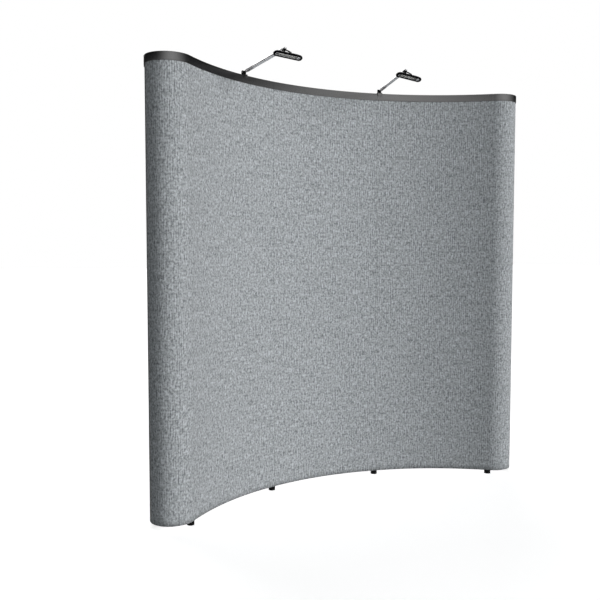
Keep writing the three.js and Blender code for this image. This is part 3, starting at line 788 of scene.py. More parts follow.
QUARTZ = quartz_glass()
CERAMIC = grained("lamp_ceramic", (0.34, 0.33, 0.31), 0.55, grain=1500.0, spread=0.15, bump=0.1)


# ---- Lines in plan ------------------------------------------------------------------------------


def arc_line(bay, count):
    """Points of the front arc over one bay: r (sin a, cos a), with the way back into the wall and
    the length along the arc."""
    half_seam = SEAM / 2 / FRONT_RADIUS
    angle = np.linspace(column_angle(bay) + half_seam, column_angle(bay + 1) - half_seam, count)
    inward = np.column_stack([np.sin(angle), np.cos(angle)])
    return FRONT_RADIUS * inward, inward, FRONT_RADIUS * angle


def cap_line(side, from_turn, to_turn, count):
    """The rounded end, a half ellipse x = flat + a sin t, y = b (1 - cos t), with its flats over the
    bars where it starts or ends at them, taken at even lengths."""
    turn = np.linspace(from_turn, to_turn, CAP_SAMPLES)
    sine, cosine = np.sin(turn), np.cos(turn)
    points = np.column_stack([side * (CAP_FLAT + CAP_WIDTH * sine), CAP_HALF_DEPTH * (1 - cosine)])
    inward = np.column_stack([-side * CAP_HALF_DEPTH * sine, CAP_WIDTH * cosine])
    if from_turn == 0:
        points = np.vstack([(side * SEAM / 2, 0), points])
        inward = np.vstack([(0, CAP_WIDTH), inward])
    if to_turn == math.pi:
        points = np.vstack([points, (-side * CAP_FLAT, CAP_DEPTH)])
        inward = np.vstack([inward, (0, -CAP_WIDTH)])
    inward = unit(inward)
    length = np.concatenate([[0], np.cumsum(np.linalg.norm(np.diff(points, axis=0), axis=1))])
    even = np.linspace(0, length[-1], count)
    points = np.column_stack([np.interp(even, length, points[:, axis]) for axis in (0, 1)])
    inward = np.column_stack([np.interp(even, length, inward[:, axis]) for axis in (0, 1)])
    return points + (0, FRONT_RADIUS), unit(inward), even


def swept(line, outline):
    """A closed outline of (depth, height) carried along a line in plan:
    point = line + depth * inward, at that height."""
    points, inward, _ = line
    depth, height = np.asarray(outline, float).T
    plan = points[:, None] + depth[None, :, None] * inward[:, None]
    grid = np.concatenate([plan, np.broadcast_to(height[None, :, None], plan.shape[:2] + (1,))], axis=-1)
    walls = skin(grid, caps=False)
    fill = end_faces([np.column_stack([depth, height])])
    last = (len(points) - 1) * len(depth)
    a, b, c = (grid[0][fill[0][corner]] for corner in range(3))
    forward = grid[1].mean(axis=0) - grid[0].mean(axis=0)
    near = fill[:, ::-1] if np.dot(np.cross(b - a, c - a), forward) > 0 else fill
    far = near[:, ::-1] + last
    closed = Shape(walls.points, walls.quads, np.concatenate([near, far]))
    if closed.volume() >= 0:
        return closed
    return Shape(closed.points, closed.quads[:, ::-1], closed.triangles)


# ---- Panels, rails and edge strips ----------------------------------------------------------------


def ribbed_cloth(name, line, matrix, node_name, first_length):
    """The face of a panel as a grid over length u and height v. It lies behind the line by
    set_back + rib_depth (1 - |cos(pi u / pitch + sin(9 v) / 4)|^0.8)
    + swell sin(23 v + 5 u) sin(11 u)."""
    points, inward, length = line
    u = (first_length + (length - length[0]))[None, :]
    v = np.linspace(PANEL_FLOOR_GAP, PANEL_TOP, CLOTH_ROWS)[:, None]
    rib = 1 - np.abs(np.cos(math.pi * u / RIB_PITCH + 0.25 * np.sin(9 * v))) ** 0.8
    swell = CLOTH_SWELL * np.sin(23 * v + 5 * u) * np.sin(11 * u)
    depth = CLOTH_SET_BACK + RIB_DEPTH * rib + swell
    plan = points[None] + depth[..., None] * inward[None]
    grid = np.concatenate([plan, np.broadcast_to(v[..., None], depth.shape + (1,))], axis=-1)
    sheet = skin(grid, round_columns=False, caps=False)
    a, b, c = (sheet.points[sheet.quads[0][corner]] for corner in range(3))
    if np.dot(np.cross(b - a, c - a)[:2], inward[0]) > 0:
        sheet = Shape(sheet.points, sheet.quads[:, ::-1])
    uv = np.stack(np.broadcast_arrays(u, v), axis=-1).reshape(-1, 2)
    made = piece(name, "wall", [(sheet.moved(matrix), CLOTH)], [node_name], 60, uv)
    thick = made.modifiers.new("cloth thickness", "SOLIDIFY")
    thick.thickness, thick.offset = CLOTH_THICKNESS, -1


def board(line, near, cut, steps):
    """An upright board of the panels' height, from a depth behind the line to the panels' back."""
    corners = [(near, PANEL_FLOOR_GAP), (PANEL_THICKNESS, PANEL_FLOOR_GAP),
               (PANEL_THICKNESS, PANEL_TOP), (near, PANEL_TOP)]
    return swept(line, rounded(corners, cut, steps))


def backing(name, line, matrix):
    """The stiff sheet behind the cloth."""
    near = CLOTH_SET_BACK + RIB_DEPTH + CLOTH_THICKNESS + BACKING_GAP
    sheet = board(line, near, BACKING_EDGE_CUT, 2)
    piece(name, "wall", [(sheet.moved(matrix), BACKING)])


def rail_corners(proud, drop):
    """The rail's profile as (depth, height): a front lip that stands proud and hangs down by a
    drop, a web over the panels and a rear lip behind the bars."""
    top, foot = WALL_HEIGHT, WALL_HEIGHT - drop
    under, hook = WALL_HEIGHT - RAIL_WEB, WALL_HEIGHT - RAIL_REAR_LIP
    return [
        (-proud, foot), (-CLEARANCE, foot), (-CLEARANCE, under), (RAIL_HOOK, under),
        (RAIL_HOOK, hook), (RAIL_BACK, hook), (RAIL_BACK, top),
        (RAIL_TOP_TURN - proud, top), (-proud, top - RAIL_TOP_TURN),
    ]


RAIL_OUTLINE = rounded(rail_corners(RAIL_PROUD, RAIL_FRONT_LIP), RAIL_CORNER_CUT, 3)
COVER_OUTLINE = rounded(rail_corners(CORNER_COVER_PROUD, CORNER_COVER_DROP), CORNER_COVER_CUT, 4)
CLOTH_STEP = RIB_PITCH / RIB_SAMPLES


def build_front():
    here = turned(0)
    for bay in range(BAY_COUNT):
        number = bay + 1
        line = arc_line(bay, round(FRONT_RADIUS * BAY_ANGLE / CLOTH_STEP))
        ribbed_cloth(f"front_cloth_{number}", line, here, f"front_panel_{number}", line[2][0])
        backing(f"front_backing_{number}", arc_line(bay, BACKING_POINTS), here)
        rail = swept(arc_line(bay, RAIL_POINTS), RAIL_OUTLINE)
        piece(f"front_rail_{number}", "wall", [(rail.moved(here), RAIL_BLACK)],
              [f"front_header_rail_{number}"])


def build_end(name, side):
    """The rounded end's cloth, backing, edge strip and rail with its deeper corner cover."""
    here = turned(side * column_angle(BAY_COUNT))
    cloth_end = EDGE_STRIP_TURN - EDGE_STRIP_SEAM / 2
    whole = cap_line(side, 0, cloth_end, 2)[2][-1]
    line = cap_line(side, 0, cloth_end, round(whole / CLOTH_STEP))
    first = FRONT_RADIUS * column_angle(BAY_COUNT)
    if side < 0:
        points, inward, length = line
        line = (points[::-1], inward[::-1], length)
        first = -first - whole
    ribbed_cloth(f"{name}_end_cloth", line, here, f"{name}_end_panel", first)
    backing(f"{name}_end_backing", cap_line(side, 0, cloth_end, CAP_POINTS), here)
    strip_line = cap_line(side, EDGE_STRIP_TURN + EDGE_STRIP_SEAM / 2, math.pi, EDGE_STRIP_POINTS)
    strip = board(strip_line, 0, EDGE_STRIP_CUT, 4)
    piece(f"{name}_edge_vinyl", "wall", [(strip.moved(here), EDGE_BLACK)],
          [f"{name}_edge_strip"])
    rail = swept(cap_line(side, 0, CORNER_COVER_TURN, CAP_POINTS), RAIL_OUTLINE)
    cover = swept(cap_line(side, CORNER_COVER_TURN, math.pi, CORNER_COVER_POINTS), COVER_OUTLINE)
    parts = [(shape.moved(here), RAIL_BLACK) for shape in (rail, cover)]
    piece(f"{name}_end_rail", "wall", parts, [f"{name}_end_header_rail"])


# ---- Folding frame ---------------------------------------------------------------------------------


def polar(depth, x=0.0, z=0.0):
    return (x, FRONT_RADIUS + depth, z)


def ended_rod(start, end, gap):
    """A rod between two points, less a gap at each, with a moulded ferrule near each end that
    tapers onto the rod."""
    start, end = Vector(start), Vector(end)
    inset = (end - start).normalized() * gap
    ferrule = spun([
        (ROD_RADIUS, 0), (FERRULE_RADIUS, 0), (FERRULE_RADIUS, FERRULE_TAPER_FROM * FERRULE_LENGTH),
        (ROD_RADIUS + FERRULE_END, FERRULE_LENGTH), (ROD_RADIUS, FERRULE_LENGTH)], FERRULE_CUT, 20)
    return [
        (rod(start + inset, end - inset, ROD_RADIUS), ROD_METAL),
        (ferrule.moved(along(start + inset, end)), HUB_BLACK),
        (ferrule.moved(along(end - inset, start)), HUB_BLACK),
    ]


def mirrored(half_profile):
    """A profile of (radius, height) from its lower half, given from its end to its middle."""
    return half_profile + [(radius, -height) for radius, height in half_profile[::-1]]


def hub(depth, height, facing):
    """A moulded hub: two flanges with a waist between them and a screw on its inner face. Facing
    says which way its outer face lies."""
    half, edge, waist = HUB_THICKNESS / 2, HUB_RADIUS - HUB_EDGE_INSET, HUB_RADIUS - HUB_WAIST_INSET
    body = spun(mirrored([
        (HUB_BORE, -half), (edge, -half), (HUB_RADIUS, HUB_EDGE_HEIGHT - half),
        (HUB_RADIUS, -HUB_FLANGE_FROM), (waist, -HUB_WAIST_HALF)]), HUB_CUT, 40, 3)
    screw = spun([(radius, half + proud) for radius, proud in HUB_SCREW], HUB_SCREW_CUT, 24, 2)
    face = along(polar(depth, 0, height), polar(depth - facing, 0, height))
    return [(body.moved(face), HUB_BLACK), (screw.moved(face), STEEL)]


def bar_button(depth, height, facing):
    """A round boss on a hub that fits into the channel bar."""
    start = depth + facing * (HUB_THICKNESS / 2 - HUB_OVERLAP)
    end = depth + facing * (HUB_THICKNESS / 2 + BAR_DEPTH - BAR_WALL)
    radius = BAR_WIDTH / 2 - BAR_WALL - CLEARANCE
    return (rod(polar(start, 0, height), polar(end, 0, height), radius, BUTTON_RIM, 32), HUB_BLACK)


def rivet(start, end):
    """A pin with a low domed head at each end."""
    start, end = Vector(start), Vector(end)
    length, head = (end - start).length, RIVET_RADIUS + RIVET_HEAD
    low = [(ON_AXIS, 0), *zip((head, head, RIVET_RADIUS), RIVET_HEAD_HEIGHTS)]
    high = [(radius, length - height) for radius, height in low[::-1]]
    return (spun(low + high, ROD_RIM, 20, 2).moved(along(start, end)), STEEL)


def lock_fittings(height):
    """Two lugs with a pin on the rear hub, and two with a peg on the front hub."""
    cheek = LOCK_WIDTH / 2 + CLEARANCE
    rear = FRONT_RADIUS + REAR_HUB_DEPTH - HUB_THICKNESS / 2
    front = FRONT_RADIUS + FRONT_HUB_DEPTH + HUB_THICKNESS / 2
    low, high = height - LOCK_HEIGHT / 2, height + LOCK_HEIGHT / 2
    made = []
    for near, far in ((rear - LOCK_LUG_REACH, rear + HUB_OVERLAP),
                      (front - HUB_OVERLAP, front + LOCK_LUG_REACH)):
        outline = rounded([(near, low), (far, low), (far, high), (near, high)], LOCK_LUG_CUT)
        for x in (-cheek - LOCK_LUG_WALL, cheek):
            lug = prism(outline, x, x + LOCK_LUG_WALL, LOCK_LUG_FLARE)
            made.append((lug.moved(X_UP), HUB_BLACK))
    reach = cheek + LOCK_PIN_PROUD
    for y in (rear - LOCK_LUG_REACH / 2, front + LOCK_LUG_REACH / 2):
        made.append((rod((-reach, y, height), (reach, y, height), LOCK_PIN_RADIUS), STEEL))
    return made


def column_parts(column):
    """The hubs of a column with its crossed rods, bosses, rivets and lock fittings."""
    parts = []
    gap = HUB_RADIUS - HUB_OVERLAP
    reach = ROD_STAGGER + ROD_RADIUS + RIVET_PROUD
    middle = (FRONT_HUB_DEPTH + REAR_HUB_DEPTH) / 2
    for row in range(ROW_COUNT):
        height = row_height(row)
        parts += hub(FRONT_HUB_DEPTH, height, -1) + hub(REAR_HUB_DEPTH, height, 1)
        parts.append(bar_button(FRONT_HUB_DEPTH, height, -1))
        if column in (0, BAY_COUNT):
            parts.append(bar_button(REAR_HUB_DEPTH, height, 1))
        if row + 1 < ROW_COUNT:
            above = row_height(row + 1)
            for x, near, far in ((ROD_STAGGER, FRONT_HUB_DEPTH, REAR_HUB_DEPTH),
                                 (-ROD_STAGGER, REAR_HUB_DEPTH, FRONT_HUB_DEPTH)):
                parts += ended_rod(polar(near, x, height), polar(far, x, above), gap)
            crossing = (height + above) / 2
            parts.append(rivet(polar(middle, -reach, crossing), polar(middle, reach, crossing)))
    if column in LOCK_COLUMNS:
        parts += lock_fittings(row_height(LOCK_ROW))
    return parts


def scissor_parts(height):
    """The crossed rods between two columns, in the frame of the bay's middle."""
    near, far = FRONT_RADIUS + FRONT_HUB_DEPTH, FRONT_RADIUS + REAR_HUB_DEPTH
    sine, cosine = math.sin(BAY_ANGLE / 2), math.cos(BAY_ANGLE / 2)
    parts = []
    for side in (-1, 1):
        level = height - side * ROD_STAGGER
        parts += ended_rod((side * sine * near, cosine * near, level),
                           (-side * sine * far, cosine * far, level), HUB_RADIUS + CROSSED_ROD_GAP)
    crossing = 2 * near * far * cosine / (near + far)
    reach = ROD_STAGGER + ROD_RADIUS + RIVET_PROUD
    parts.append(rivet((0, crossing, height - reach), (0, crossing, height + reach)))
    return parts


def channel_bar(facing):
    """A U-shaped extrusion with its open side towards the hubs."""
    half, inner = BAR_WIDTH / 2, BAR_WIDTH / 2 - BAR_WALL
    outer = PANEL_THICKNESS + CLEARANCE if facing < 0 else CAP_DEPTH - PANEL_THICKNESS - CLEARANCE
    way = 1 if facing < 0 else -1
    depths = [outer, outer + way * BAR_WALL, outer + way * BAR_DEPTH]
    web, floor, mouth = (FRONT_RADIUS + depth for depth in depths)
    outline = [(-half, web), (half, web), (half, mouth), (inner, mouth),
               (inner, floor), (-inner, floor), (-inner, mouth), (-half, mouth)]
    return [(prism(rounded(outline, BAR_CUT, 3), BAR_FLOOR_GAP, PANEL_TOP, BAR_FLARE), BAR_METAL)]


def foot(depth):
    """A levelling glide: a rubber base, a body with grip waves, a collar and the threaded stem."""
    stem_top = FIRST_ROW_HEIGHT - HUB_RADIUS - CLEARANCE
    side, seat = FOOT_RADIUS - FOOT_INSET, FOOT_BASE_HEIGHT - FOOT_INSET
    base = spun([(ON_AXIS, 0), (FOOT_RADIUS, 0), (FOOT_RADIUS, FOOT_BASE_HEIGHT),
                 (ON_AXIS, FOOT_BASE_HEIGHT)], FOOT_BASE_CUT, 48)
    body = spun([(ON_AXIS, seat), (side, seat), (side, FOOT_HEIGHT - FOOT_SHOULDER),
                 (FOOT_RADIUS - FOOT_SHOULDER, FOOT_HEIGHT), (FOOT_STEM_RADIUS, FOOT_HEIGHT)],
                FOOT_BODY_CUT, 120, lobes=FOOT_LOBES, lobe_depth=FOOT_LOBE_DEPTH)
    inset, plain = FOOT_STEM_POINT
    ridges = thread(FOOT_STEM_RADIUS, FOOT_THREAD, FOOT_HEIGHT, stem_top - plain)
    stem = lathe(np.vstack([ridges, (FOOT_STEM_RADIUS - inset, stem_top)]), 32)
    place = Matrix.Translation(polar(depth))
    return [(shape.moved(place), finish)
            for shape, finish in ((base, FOOT_RUBBER), (body, FOOT_BLACK), (stem, STEEL))]


LOCK_PIN_DEPTH = REAR_HUB_DEPTH - HUB_THICKNESS / 2 - LOCK_LUG_REACH / 2


def locking_arm():
    """A flat bar about its pin, with a notch that drops over the front peg."""
    span = LOCK_PIN_DEPTH - (FRONT_HUB_DEPTH + HUB_THICKNESS / 2 + LOCK_LUG_REACH / 2)
    half = LOCK_HEIGHT / 2
    hole = LOCK_PIN_RADIUS + LOCK_PIN_GAP
    tip = -span - half
    notch = [(-span + hole, -half), (-span + hole, hole), (-span - hole, hole), (-span - hole, -half)]
    corners = [(0, half), (tip, half), (tip, -half), *notch[::-1], (0, -half)]
    outline = np.vstack([
        circle(half, 17, start=-math.pi / 2, end=math.pi / 2),
        rounded(corners, LOCK_CUT, closed=False)[1:-1],
    ])
    bar = prism(outline, -LOCK_WIDTH / 2, LOCK_WIDTH / 2, LOCK_FLARE, [circle(hole, 24)])
    return [(bar.moved(X_UP), LOCK_BLACK)]


def place_piece(name, body, parts, matrix, nodes):
    """A piece whose parts are made in the local frame that the matrix puts in place."""
    piece(name, body, [(shape.moved(matrix), finish) for shape, finish in parts], nodes)


def build_frame():
    for column in range(BAY_COUNT + 1):
        here, number = turned(column_angle(column)), column + 1
        place_piece(f"column_{number}_hubs_and_rods", "wall", column_parts(column), here,
                    [f"column_frame_{number}"])
        place_piece(f"front_bar_{number}", "wall", channel_bar(-1), here,
                    [f"front_channel_bar_{number}"])
        for where, depth in (("front", FRONT_HUB_DEPTH), ("rear", REAR_HUB_DEPTH)):
            place_piece(f"{where}_glide_{number}", "wall", foot(depth), here,
                        [f"{where}_foot_{number}"])
        if column in LOCK_COLUMNS:
            there = here @ Matrix.Translation(polar(LOCK_PIN_DEPTH, 0, row_height(LOCK_ROW)))
            name = f"locking_arm_{number}"
            place_piece(f"{name}_bar", name, locking_arm(), there, [name])
    for bay in range(BAY_COUNT):
        here = turned((column_angle(bay) + column_angle(bay + 1)) / 2)
        for row in range(ROW_COUNT):
            place_piece(f"crossed_rods_{bay + 1}_{row + 1}", "wall", scissor_parts(row_height(row)), here,
                        [f"scissor_rods_bay_{bay + 1}_row_{row + 1}"])
    for name, side in (("left", -1), ("right", 1)):
        place_piece(f"{name}_rear_bar", "wall", channel_bar(1), turned(side * column_angle(BAY_COUNT)),
                    [f"{name}_rear_channel_bar"])


# ---- Arm lights ---------------------------------------------------------------------------------------


def clamp_parts():
    """An upside-down U in profile over the rail."""
    rail_front, rail_rear = -RAIL_PROUD - POST_OFFSET, RAIL_BACK - POST_OFFSET
    front_in = rail_front - CLAMP_GAP
    front_out, rear_in = front_in - CLAMP_JAW, rail_rear + SCREW_ROOM
    rear_out, top = rear_in + CLAMP_JAW, CLAMP_GAP + CLAMP_TOP
    outline = [
        (front_out, -CLAMP_FRONT_DROP), (front_in, -CLAMP_FRONT_DROP), (front_in, CLAMP_GAP),
        (rear_in, CLAMP_GAP), (rear_in, -CLAMP_REAR_DROP), (rear_out, -CLAMP_REAR_DROP),
        (rear_out, top), (front_out, top),
    ]
    body = prism(rounded(outline, CLAMP_CUT), -CLAMP_WIDTH / 2, CLAMP_WIDTH / 2, CLAMP_FLARE)
    return [(body.moved(X_UP), RAIL_BLACK)]


def knob_parts():
    """A six-lobed grip on a screw that ends against the rail's rear lip. Its axis is y."""
    rail_rear = RAIL_BACK - POST_OFFSET
    face = rail_rear + SCREW_ROOM + CLAMP_JAW + CLEARANCE
    grip = spun([
        (ON_AXIS, 0), *((KNOB_RADIUS - inset, height) for inset, height in KNOB_SEAT),
        *((KNOB_RADIUS - inset, KNOB_THICKNESS - height) for inset, height in KNOB_FACE),
        (ON_AXIS, KNOB_THICKNESS)], KNOB_CUT, 96, lobes=KNOB_LOBES, lobe_depth=KNOB_LOBE_DEPTH)
    screw = lathe(thread(SCREW_RADIUS, SCREW_THREAD, 0, face - rail_rear - CLEARANCE), 24)
    return [
        (grip.moved(along((0, face, 0), (0, face + 1, 0))), CLAMP_BLACK),
        (screw.moved(along((0, rail_rear + CLEARANCE, 0), (0, face, 0))), STEEL),
    ]


def post_parts():
    """A turning base with two ears, the pin between them and a nut on each side."""
    inner = EYE_WIDTH / 2 + CLEARANCE
    outer = inner + EAR_WALL
    pin_end = inner + PIN_OVERLAP
    foot_height = CLEARANCE + EAR_FOOT
    base = barrel(POST_RADIUS, POST_THICKNESS, POST_RIM, 40)
    parts = [(base.moved(Matrix.Translation((0, 0, CLEARANCE))), CLAMP_BLACK)]
    outline = np.vstack([
        circle(EYE_RADIUS, 19, (0, PIVOT_HEIGHT), 0, math.pi),
        [(-EYE_RADIUS, foot_height), (EYE_RADIUS, foot_height)],
    ])
    for low in (-outer, inner):
        parts.append((prism(outline, low, low + EAR_WALL, EAR_FLARE).moved(X_UP), CLAMP_BLACK))
    for side in (-1, 1):
        start, end = side * (outer - NUT_OVERLAP), side * (outer + PIVOT_NUT_HEIGHT)
        nut = rod((start, 0, PIVOT_HEIGHT), (end, 0, PIVOT_HEIGHT), PIVOT_NUT_RADIUS, ROD_RIM, 6)
        parts.append((nut, STEEL))
    parts.append((rod((-pin_end, 0, PIVOT_HEIGHT), (pin_end, 0, PIVOT_HEIGHT), PIVOT_PIN_RADIUS), STEEL))
    return parts


def arm_parts():
    """The chrome tube with its sleeve, an eye at the post and a flat eye at the tip."""
    half, thin = EYE_WIDTH / 2, TIP_THICKNESS / 2
    hole = circle(PIVOT_HOLE_RADIUS, 24)
    tip_hole = circle(PIVOT_HOLE_RADIUS, 24, (0, -ARM_LENGTH))
    eye = prism(circle(EYE_RADIUS - CLEARANCE, 36), -half, half, EYE_FLARE, [hole]).moved(X_UP)
    into_eye, into_sleeve = NECK_OVERLAPS
    neck = rod((0, -EYE_RADIUS + into_eye, 0), (0, -SLEEVE_START - into_sleeve, 0), NECK_RADIUS)
    reach, inside = SLEEVE_END - SLEEVE_START, ARM_RADIUS - SLEEVE_DEPTH
    sleeve = spun([
        (inside, 0), *((SLEEVE_RADIUS - inset, height) for inset, height in SLEEVE_RINGS),
        (SLEEVE_RADIUS, reach - SLEEVE_TAPER), (ARM_RADIUS + SLEEVE_LIP, reach), (inside, reach),
    ], SLEEVE_CUT, 36).moved(along((0, -SLEEVE_START, 0), (0, -SLEEVE_END, 0)))
    bar_end = TIP_TONGUE - ARM_LENGTH
    bar = rod((0, -SLEEVE_START, 0), (0, bar_end, 0), ARM_RADIUS, ARM_RIM, 32)
    root = bar_end + TIP_OVERLAP
    outline = np.vstack([
        circle(TIP_RADIUS, 25, (0, -ARM_LENGTH), math.pi, 2 * math.pi),
        [(TIP_RADIUS, root), (-TIP_RADIUS, root)],
    ])
    tongue = prism(outline, -thin, thin, EYE_FLARE, [tip_hole])
    return [(eye, CLAMP_BLACK), (neck, CLAMP_BLACK), (sleeve, SLEEVE_GREY),
            (bar, ARM_CHROME), (tongue, ARM_CHROME)]


def bracket_parts():
    """Two bent legs from a boss under the arm's tip to the ears beside the head."""
    half_tip = TIP_THICKNESS / 2 + CLEARANCE
    root = -half_tip - BOSS_THICKNESS / 2
    pin_end = half_tip + PIN_OVERLAP
    boss = barrel(TIP_RADIUS, BOSS_THICKNESS, BOSS_RIM, 36)
    cap = barrel(CAP_RADIUS, CAP_THICKNESS, CAP_RIM, 32)
    parts = [
        (boss.moved(Matrix.Translation((0, 0, -half_tip - BOSS_THICKNESS))), HEAD_BLACK),
        (cap.moved(Matrix.Translation((0, 0, half_tip))), STEEL),
        (rod((0, 0, -pin_end), (0, 0, pin_end), PIVOT_PIN_RADIUS), STEEL),
    ]
    half = BRACKET_EAR_WALL / 2
    y, z = -BRACKET_REACH, -BRACKET_DROP
    for side in (-1, 1):
        ear_x = side * BRACKET_EAR_OFFSET
        leg_x = side * (BRACKET_EAR_OFFSET - half + BRACKET_LEG_RADIUS)
        elbow = (leg_x, y * BRACKET_ELBOW, root + (z - root) * BRACKET_ELBOW)
        corners = [(side * BRACKET_ROOT_X, 0, root), elbow, (leg_x, y, z)]
        path = rounded(corners, BRACKET_BEND, 8, closed=False)
        dense = [np.linspace(a, b, 4, endpoint=False) for a, b in zip(path[:-1], path[1:])]
        parts.append((tube(np.concatenate([*dense, path[-1:]]), BRACKET_LEG_RADIUS), HEAD_BLACK))
        lug_face = side * (BRACKET_EAR_OFFSET - half - CLEARANCE - HEAD_LUG_WALL)
        nut_x = ear_x + side * half
        for start, end, radius, rim, sides, finish in (
            (ear_x - half, ear_x + half, BRACKET_EAR_RADIUS, BRACKET_EAR_RIM, 32, HEAD_BLACK),
            (ear_x, lug_face, BRACKET_PIN_RADIUS, ROD_RIM, 20, STEEL),
            (nut_x, nut_x + side * BRACKET_NUT_HEIGHT, BRACKET_NUT_RADIUS, BRACKET_NUT_RIM, 6, STEEL),
        ):
            parts.append((rod((start, y, z), (end, y, z), radius, rim, sides), finish))
    return parts


def bar_rings(sizes, columns=96):
    """Rings in the shape of a bar with round ends, from arrays of half length, half width and
    height. A turn t in each quarter gives x = (length - width) sign + width cos t, y = width sin t."""
    length, width, height = (np.asarray(column, float)[:, None] for column in zip(*sizes))
    turn = (np.arange(columns) + 0.5) * 2 * math.pi / columns
    x = (length - width) * np.sign(np.cos(turn)) + width * np.cos(turn)
    y = width * np.sin(turn)
    return np.stack([x, y, np.broadcast_to(height, x.shape)], axis=-1)


def shifted(sizes, inset=0.0, painted_loop_shade=0.0):
    return [(length - inset, width - inset, height + painted_loop_shade) for length, width, height in sizes]


def shell_parts():
    """The housing: one skin over its back, round its thick rim and up into its hollow."""
    back, hollow_back = HEAD_RINGS[0][2], HOLLOW_RINGS[-1][2]
    outer = rounded([(*HEAD_CROWN, back), *HEAD_RINGS], HEAD_CUT, 8, closed=False)[:-1]
    rim_corners = [*HEAD_RINGS[-2:], *HOLLOW_RINGS[:2]]
    rim = rounded(rim_corners, HEAD_RIM_CUT, 8, closed=False)[1:-1]
    inner = rounded([*HOLLOW_RINGS[1:], (*HOLLOW_CROWN, hollow_back)], HOLLOW_CUT, 5, closed=False)
    parts = [(skin(bar_rings(np.vstack([outer, rim, inner]))), HEAD_BLACK)]
    lug_out = BRACKET_EAR_OFFSET - BRACKET_EAR_WALL / 2 - CLEARANCE
    root = back - HEAD_LUG_OVERLAP
    outline = np.vstack([
        circle(HEAD_LUG_RADIUS, 17, (0, 0), 0, math.pi),
        [(-HEAD_LUG_RADIUS, root), (HEAD_LUG_RADIUS, root)],
    ])
    for low in (-lug_out, lug_out - HEAD_LUG_WALL):
        lug = prism(outline, low, low + HEAD_LUG_WALL, HEAD_LUG_FLARE, [circle(HEAD_LUG_HOLE, 20)])
        parts.append((lug.moved(X_UP), HEAD_BLACK))
    return parts


def reflector_parts():
    """A thin bright trough that lines the hollow up to its mouth."""
    mouth = (*HOLLOW_RINGS[0][:2], REFLECTOR_MOUTH)
    back = (*REFLECTOR_CROWN, HOLLOW_RINGS[-1][2])
    rings = rounded([mouth, *HOLLOW_RINGS[1:], back], HOLLOW_CUT, 5, closed=False)
    outer = shifted(rings, CLEARANCE * 2, -CLEARANCE)
    inner = shifted(rings, CLEARANCE + REFLECTOR_WALL, -REFLECTOR_WALL)
    for edge in (outer, inner):
        edge[0] = (*edge[0][:2], REFLECTOR_MOUTH)
    return [(skin(bar_rings(outer[::-1] + inner)), MIRROR)]


def lamp_parts():
    """A quartz tube between two ceramic ends."""
    inside = LAMP_HALF_LENGTH - LAMP_SOCKET_LENGTH
    reach = inside + PIN_OVERLAP
    glass = rod((-reach, 0, LAMP_HEIGHT), (reach, 0, LAMP_HEIGHT), LAMP_RADIUS, LAMP_RIM, 28)
    parts = [(glass, QUARTZ)]
    for side in (-1, 1):
        start, end = (side * LAMP_HALF_LENGTH, 0, LAMP_HEIGHT), (side * inside, 0, LAMP_HEIGHT)
        parts.append((rod(start, end, LAMP_SOCKET_RADIUS, LAMP_SOCKET_RIM, 28), CERAMIC))
    return parts


def clip_parts():
    """A spring wire that crosses the mouth under the middle of the lamp."""
    half = HOLLOW_RINGS[0][1] - CLEARANCE - REFLECTOR_WALL
    turn = np.linspace(0, math.pi, CLIP_POINTS)
    height = LAMP_HEIGHT - CLIP_RISE * np.sin(turn) ** 0.6
    path = np.column_stack([np.zeros(CLIP_POINTS), -half * np.cos(turn), height])
    return [(tube(path, CLIP_RADIUS, (1.0, 0.0, 0.0), 12), STEEL)]


def build_light(side):
    """One arm light; its frames come from the joints' places and axes."""
    joints = {joint["name"]: joint for joint in frame["joints"]}

    def axis_of(name):
        return Vector(joints[f"{side}_{name}"]["axis"]).normalized()

    def place_of(name):
        return Vector(joints[f"{side}_{name}"]["pos_m"])

    up, back = axis_of("post_swivel"), axis_of("clamp_knob_turn")
    pivot_x = -axis_of("arm_tilt")
    arm_z = axis_of("head_swivel")
    head_x = axis_of("head_tilt")
    tip_y = arm_z.cross(head_x).normalized()
    across = back.cross(up)
    post_origin = place_of("post_swivel")
    rail_top = frame_of(post_origin - up * (CLAMP_GAP + CLAMP_TOP), across, back, up)
    screw = frame_of(place_of("clamp_knob_turn"), across, back, up)
    post = frame_of(post_origin, pivot_x, up.cross(pivot_x), up)
    arm = frame_of(place_of("arm_tilt"), pivot_x, arm_z.cross(pivot_x), arm_z)
    head_z = head_x.cross(tip_y)
    rolled = frame_of(place_of("head_swivel"), head_x, tip_y, head_z)
    level = frame_of(place_of("head_tilt"), head_x, tip_y, head_z)
    head = level @ Matrix.Rotation(HEAD_TILT, 4, "X")
    rows = (
        ("clamp", "wall", clamp_parts, rail_top, "rail_clamp", "light_clamp"),
        ("knob", f"{side}_clamp_knob", knob_parts, screw, "clamp_knob", "light_clamp"),
        ("post", f"{side}_swivel_post", post_parts, post, "swivel_post", "light_clamp"),
        ("arm_tube", f"{side}_arm", arm_parts, arm, "arm", "light_arm"),
        ("bracket", f"{side}_head_bracket", bracket_parts, rolled, "head_bracket", "light_head"),
        ("housing", f"{side}_head", shell_parts, head, "head_shell", "light_head"),
        ("trough", f"{side}_head", reflector_parts, head, "reflector", "reflector"),
        ("lamp", f"{side}_head", lamp_parts, head, "lamp_tube", "lamp"),
        ("lamp_clip", f"{side}_head", clip_parts, head, None, "reflector"),
    )
    for name, body, make, matrix, node_name, slot in rows:
        nodes = [f"{side}_light_{node_name}"] if node_name else []
        place_piece(f"{side}_{name}", body, make(), matrix, nodes)


# ---- Camera, floor and studio light --------------------------------------------------------------------

CAMERA_PLACE = (-2.2994, ARC_CENTRE_Y - 2.5215, 1.3175)
CAMERA_PITCH = math.radians(86.301)
CAMERA_HEADING = math.radians(-28.777)
FRAME_SIZE = 600
FOCAL_PIXELS = 794.71
PRINCIPAL_DROP = 4.085
SENSOR = 36.0


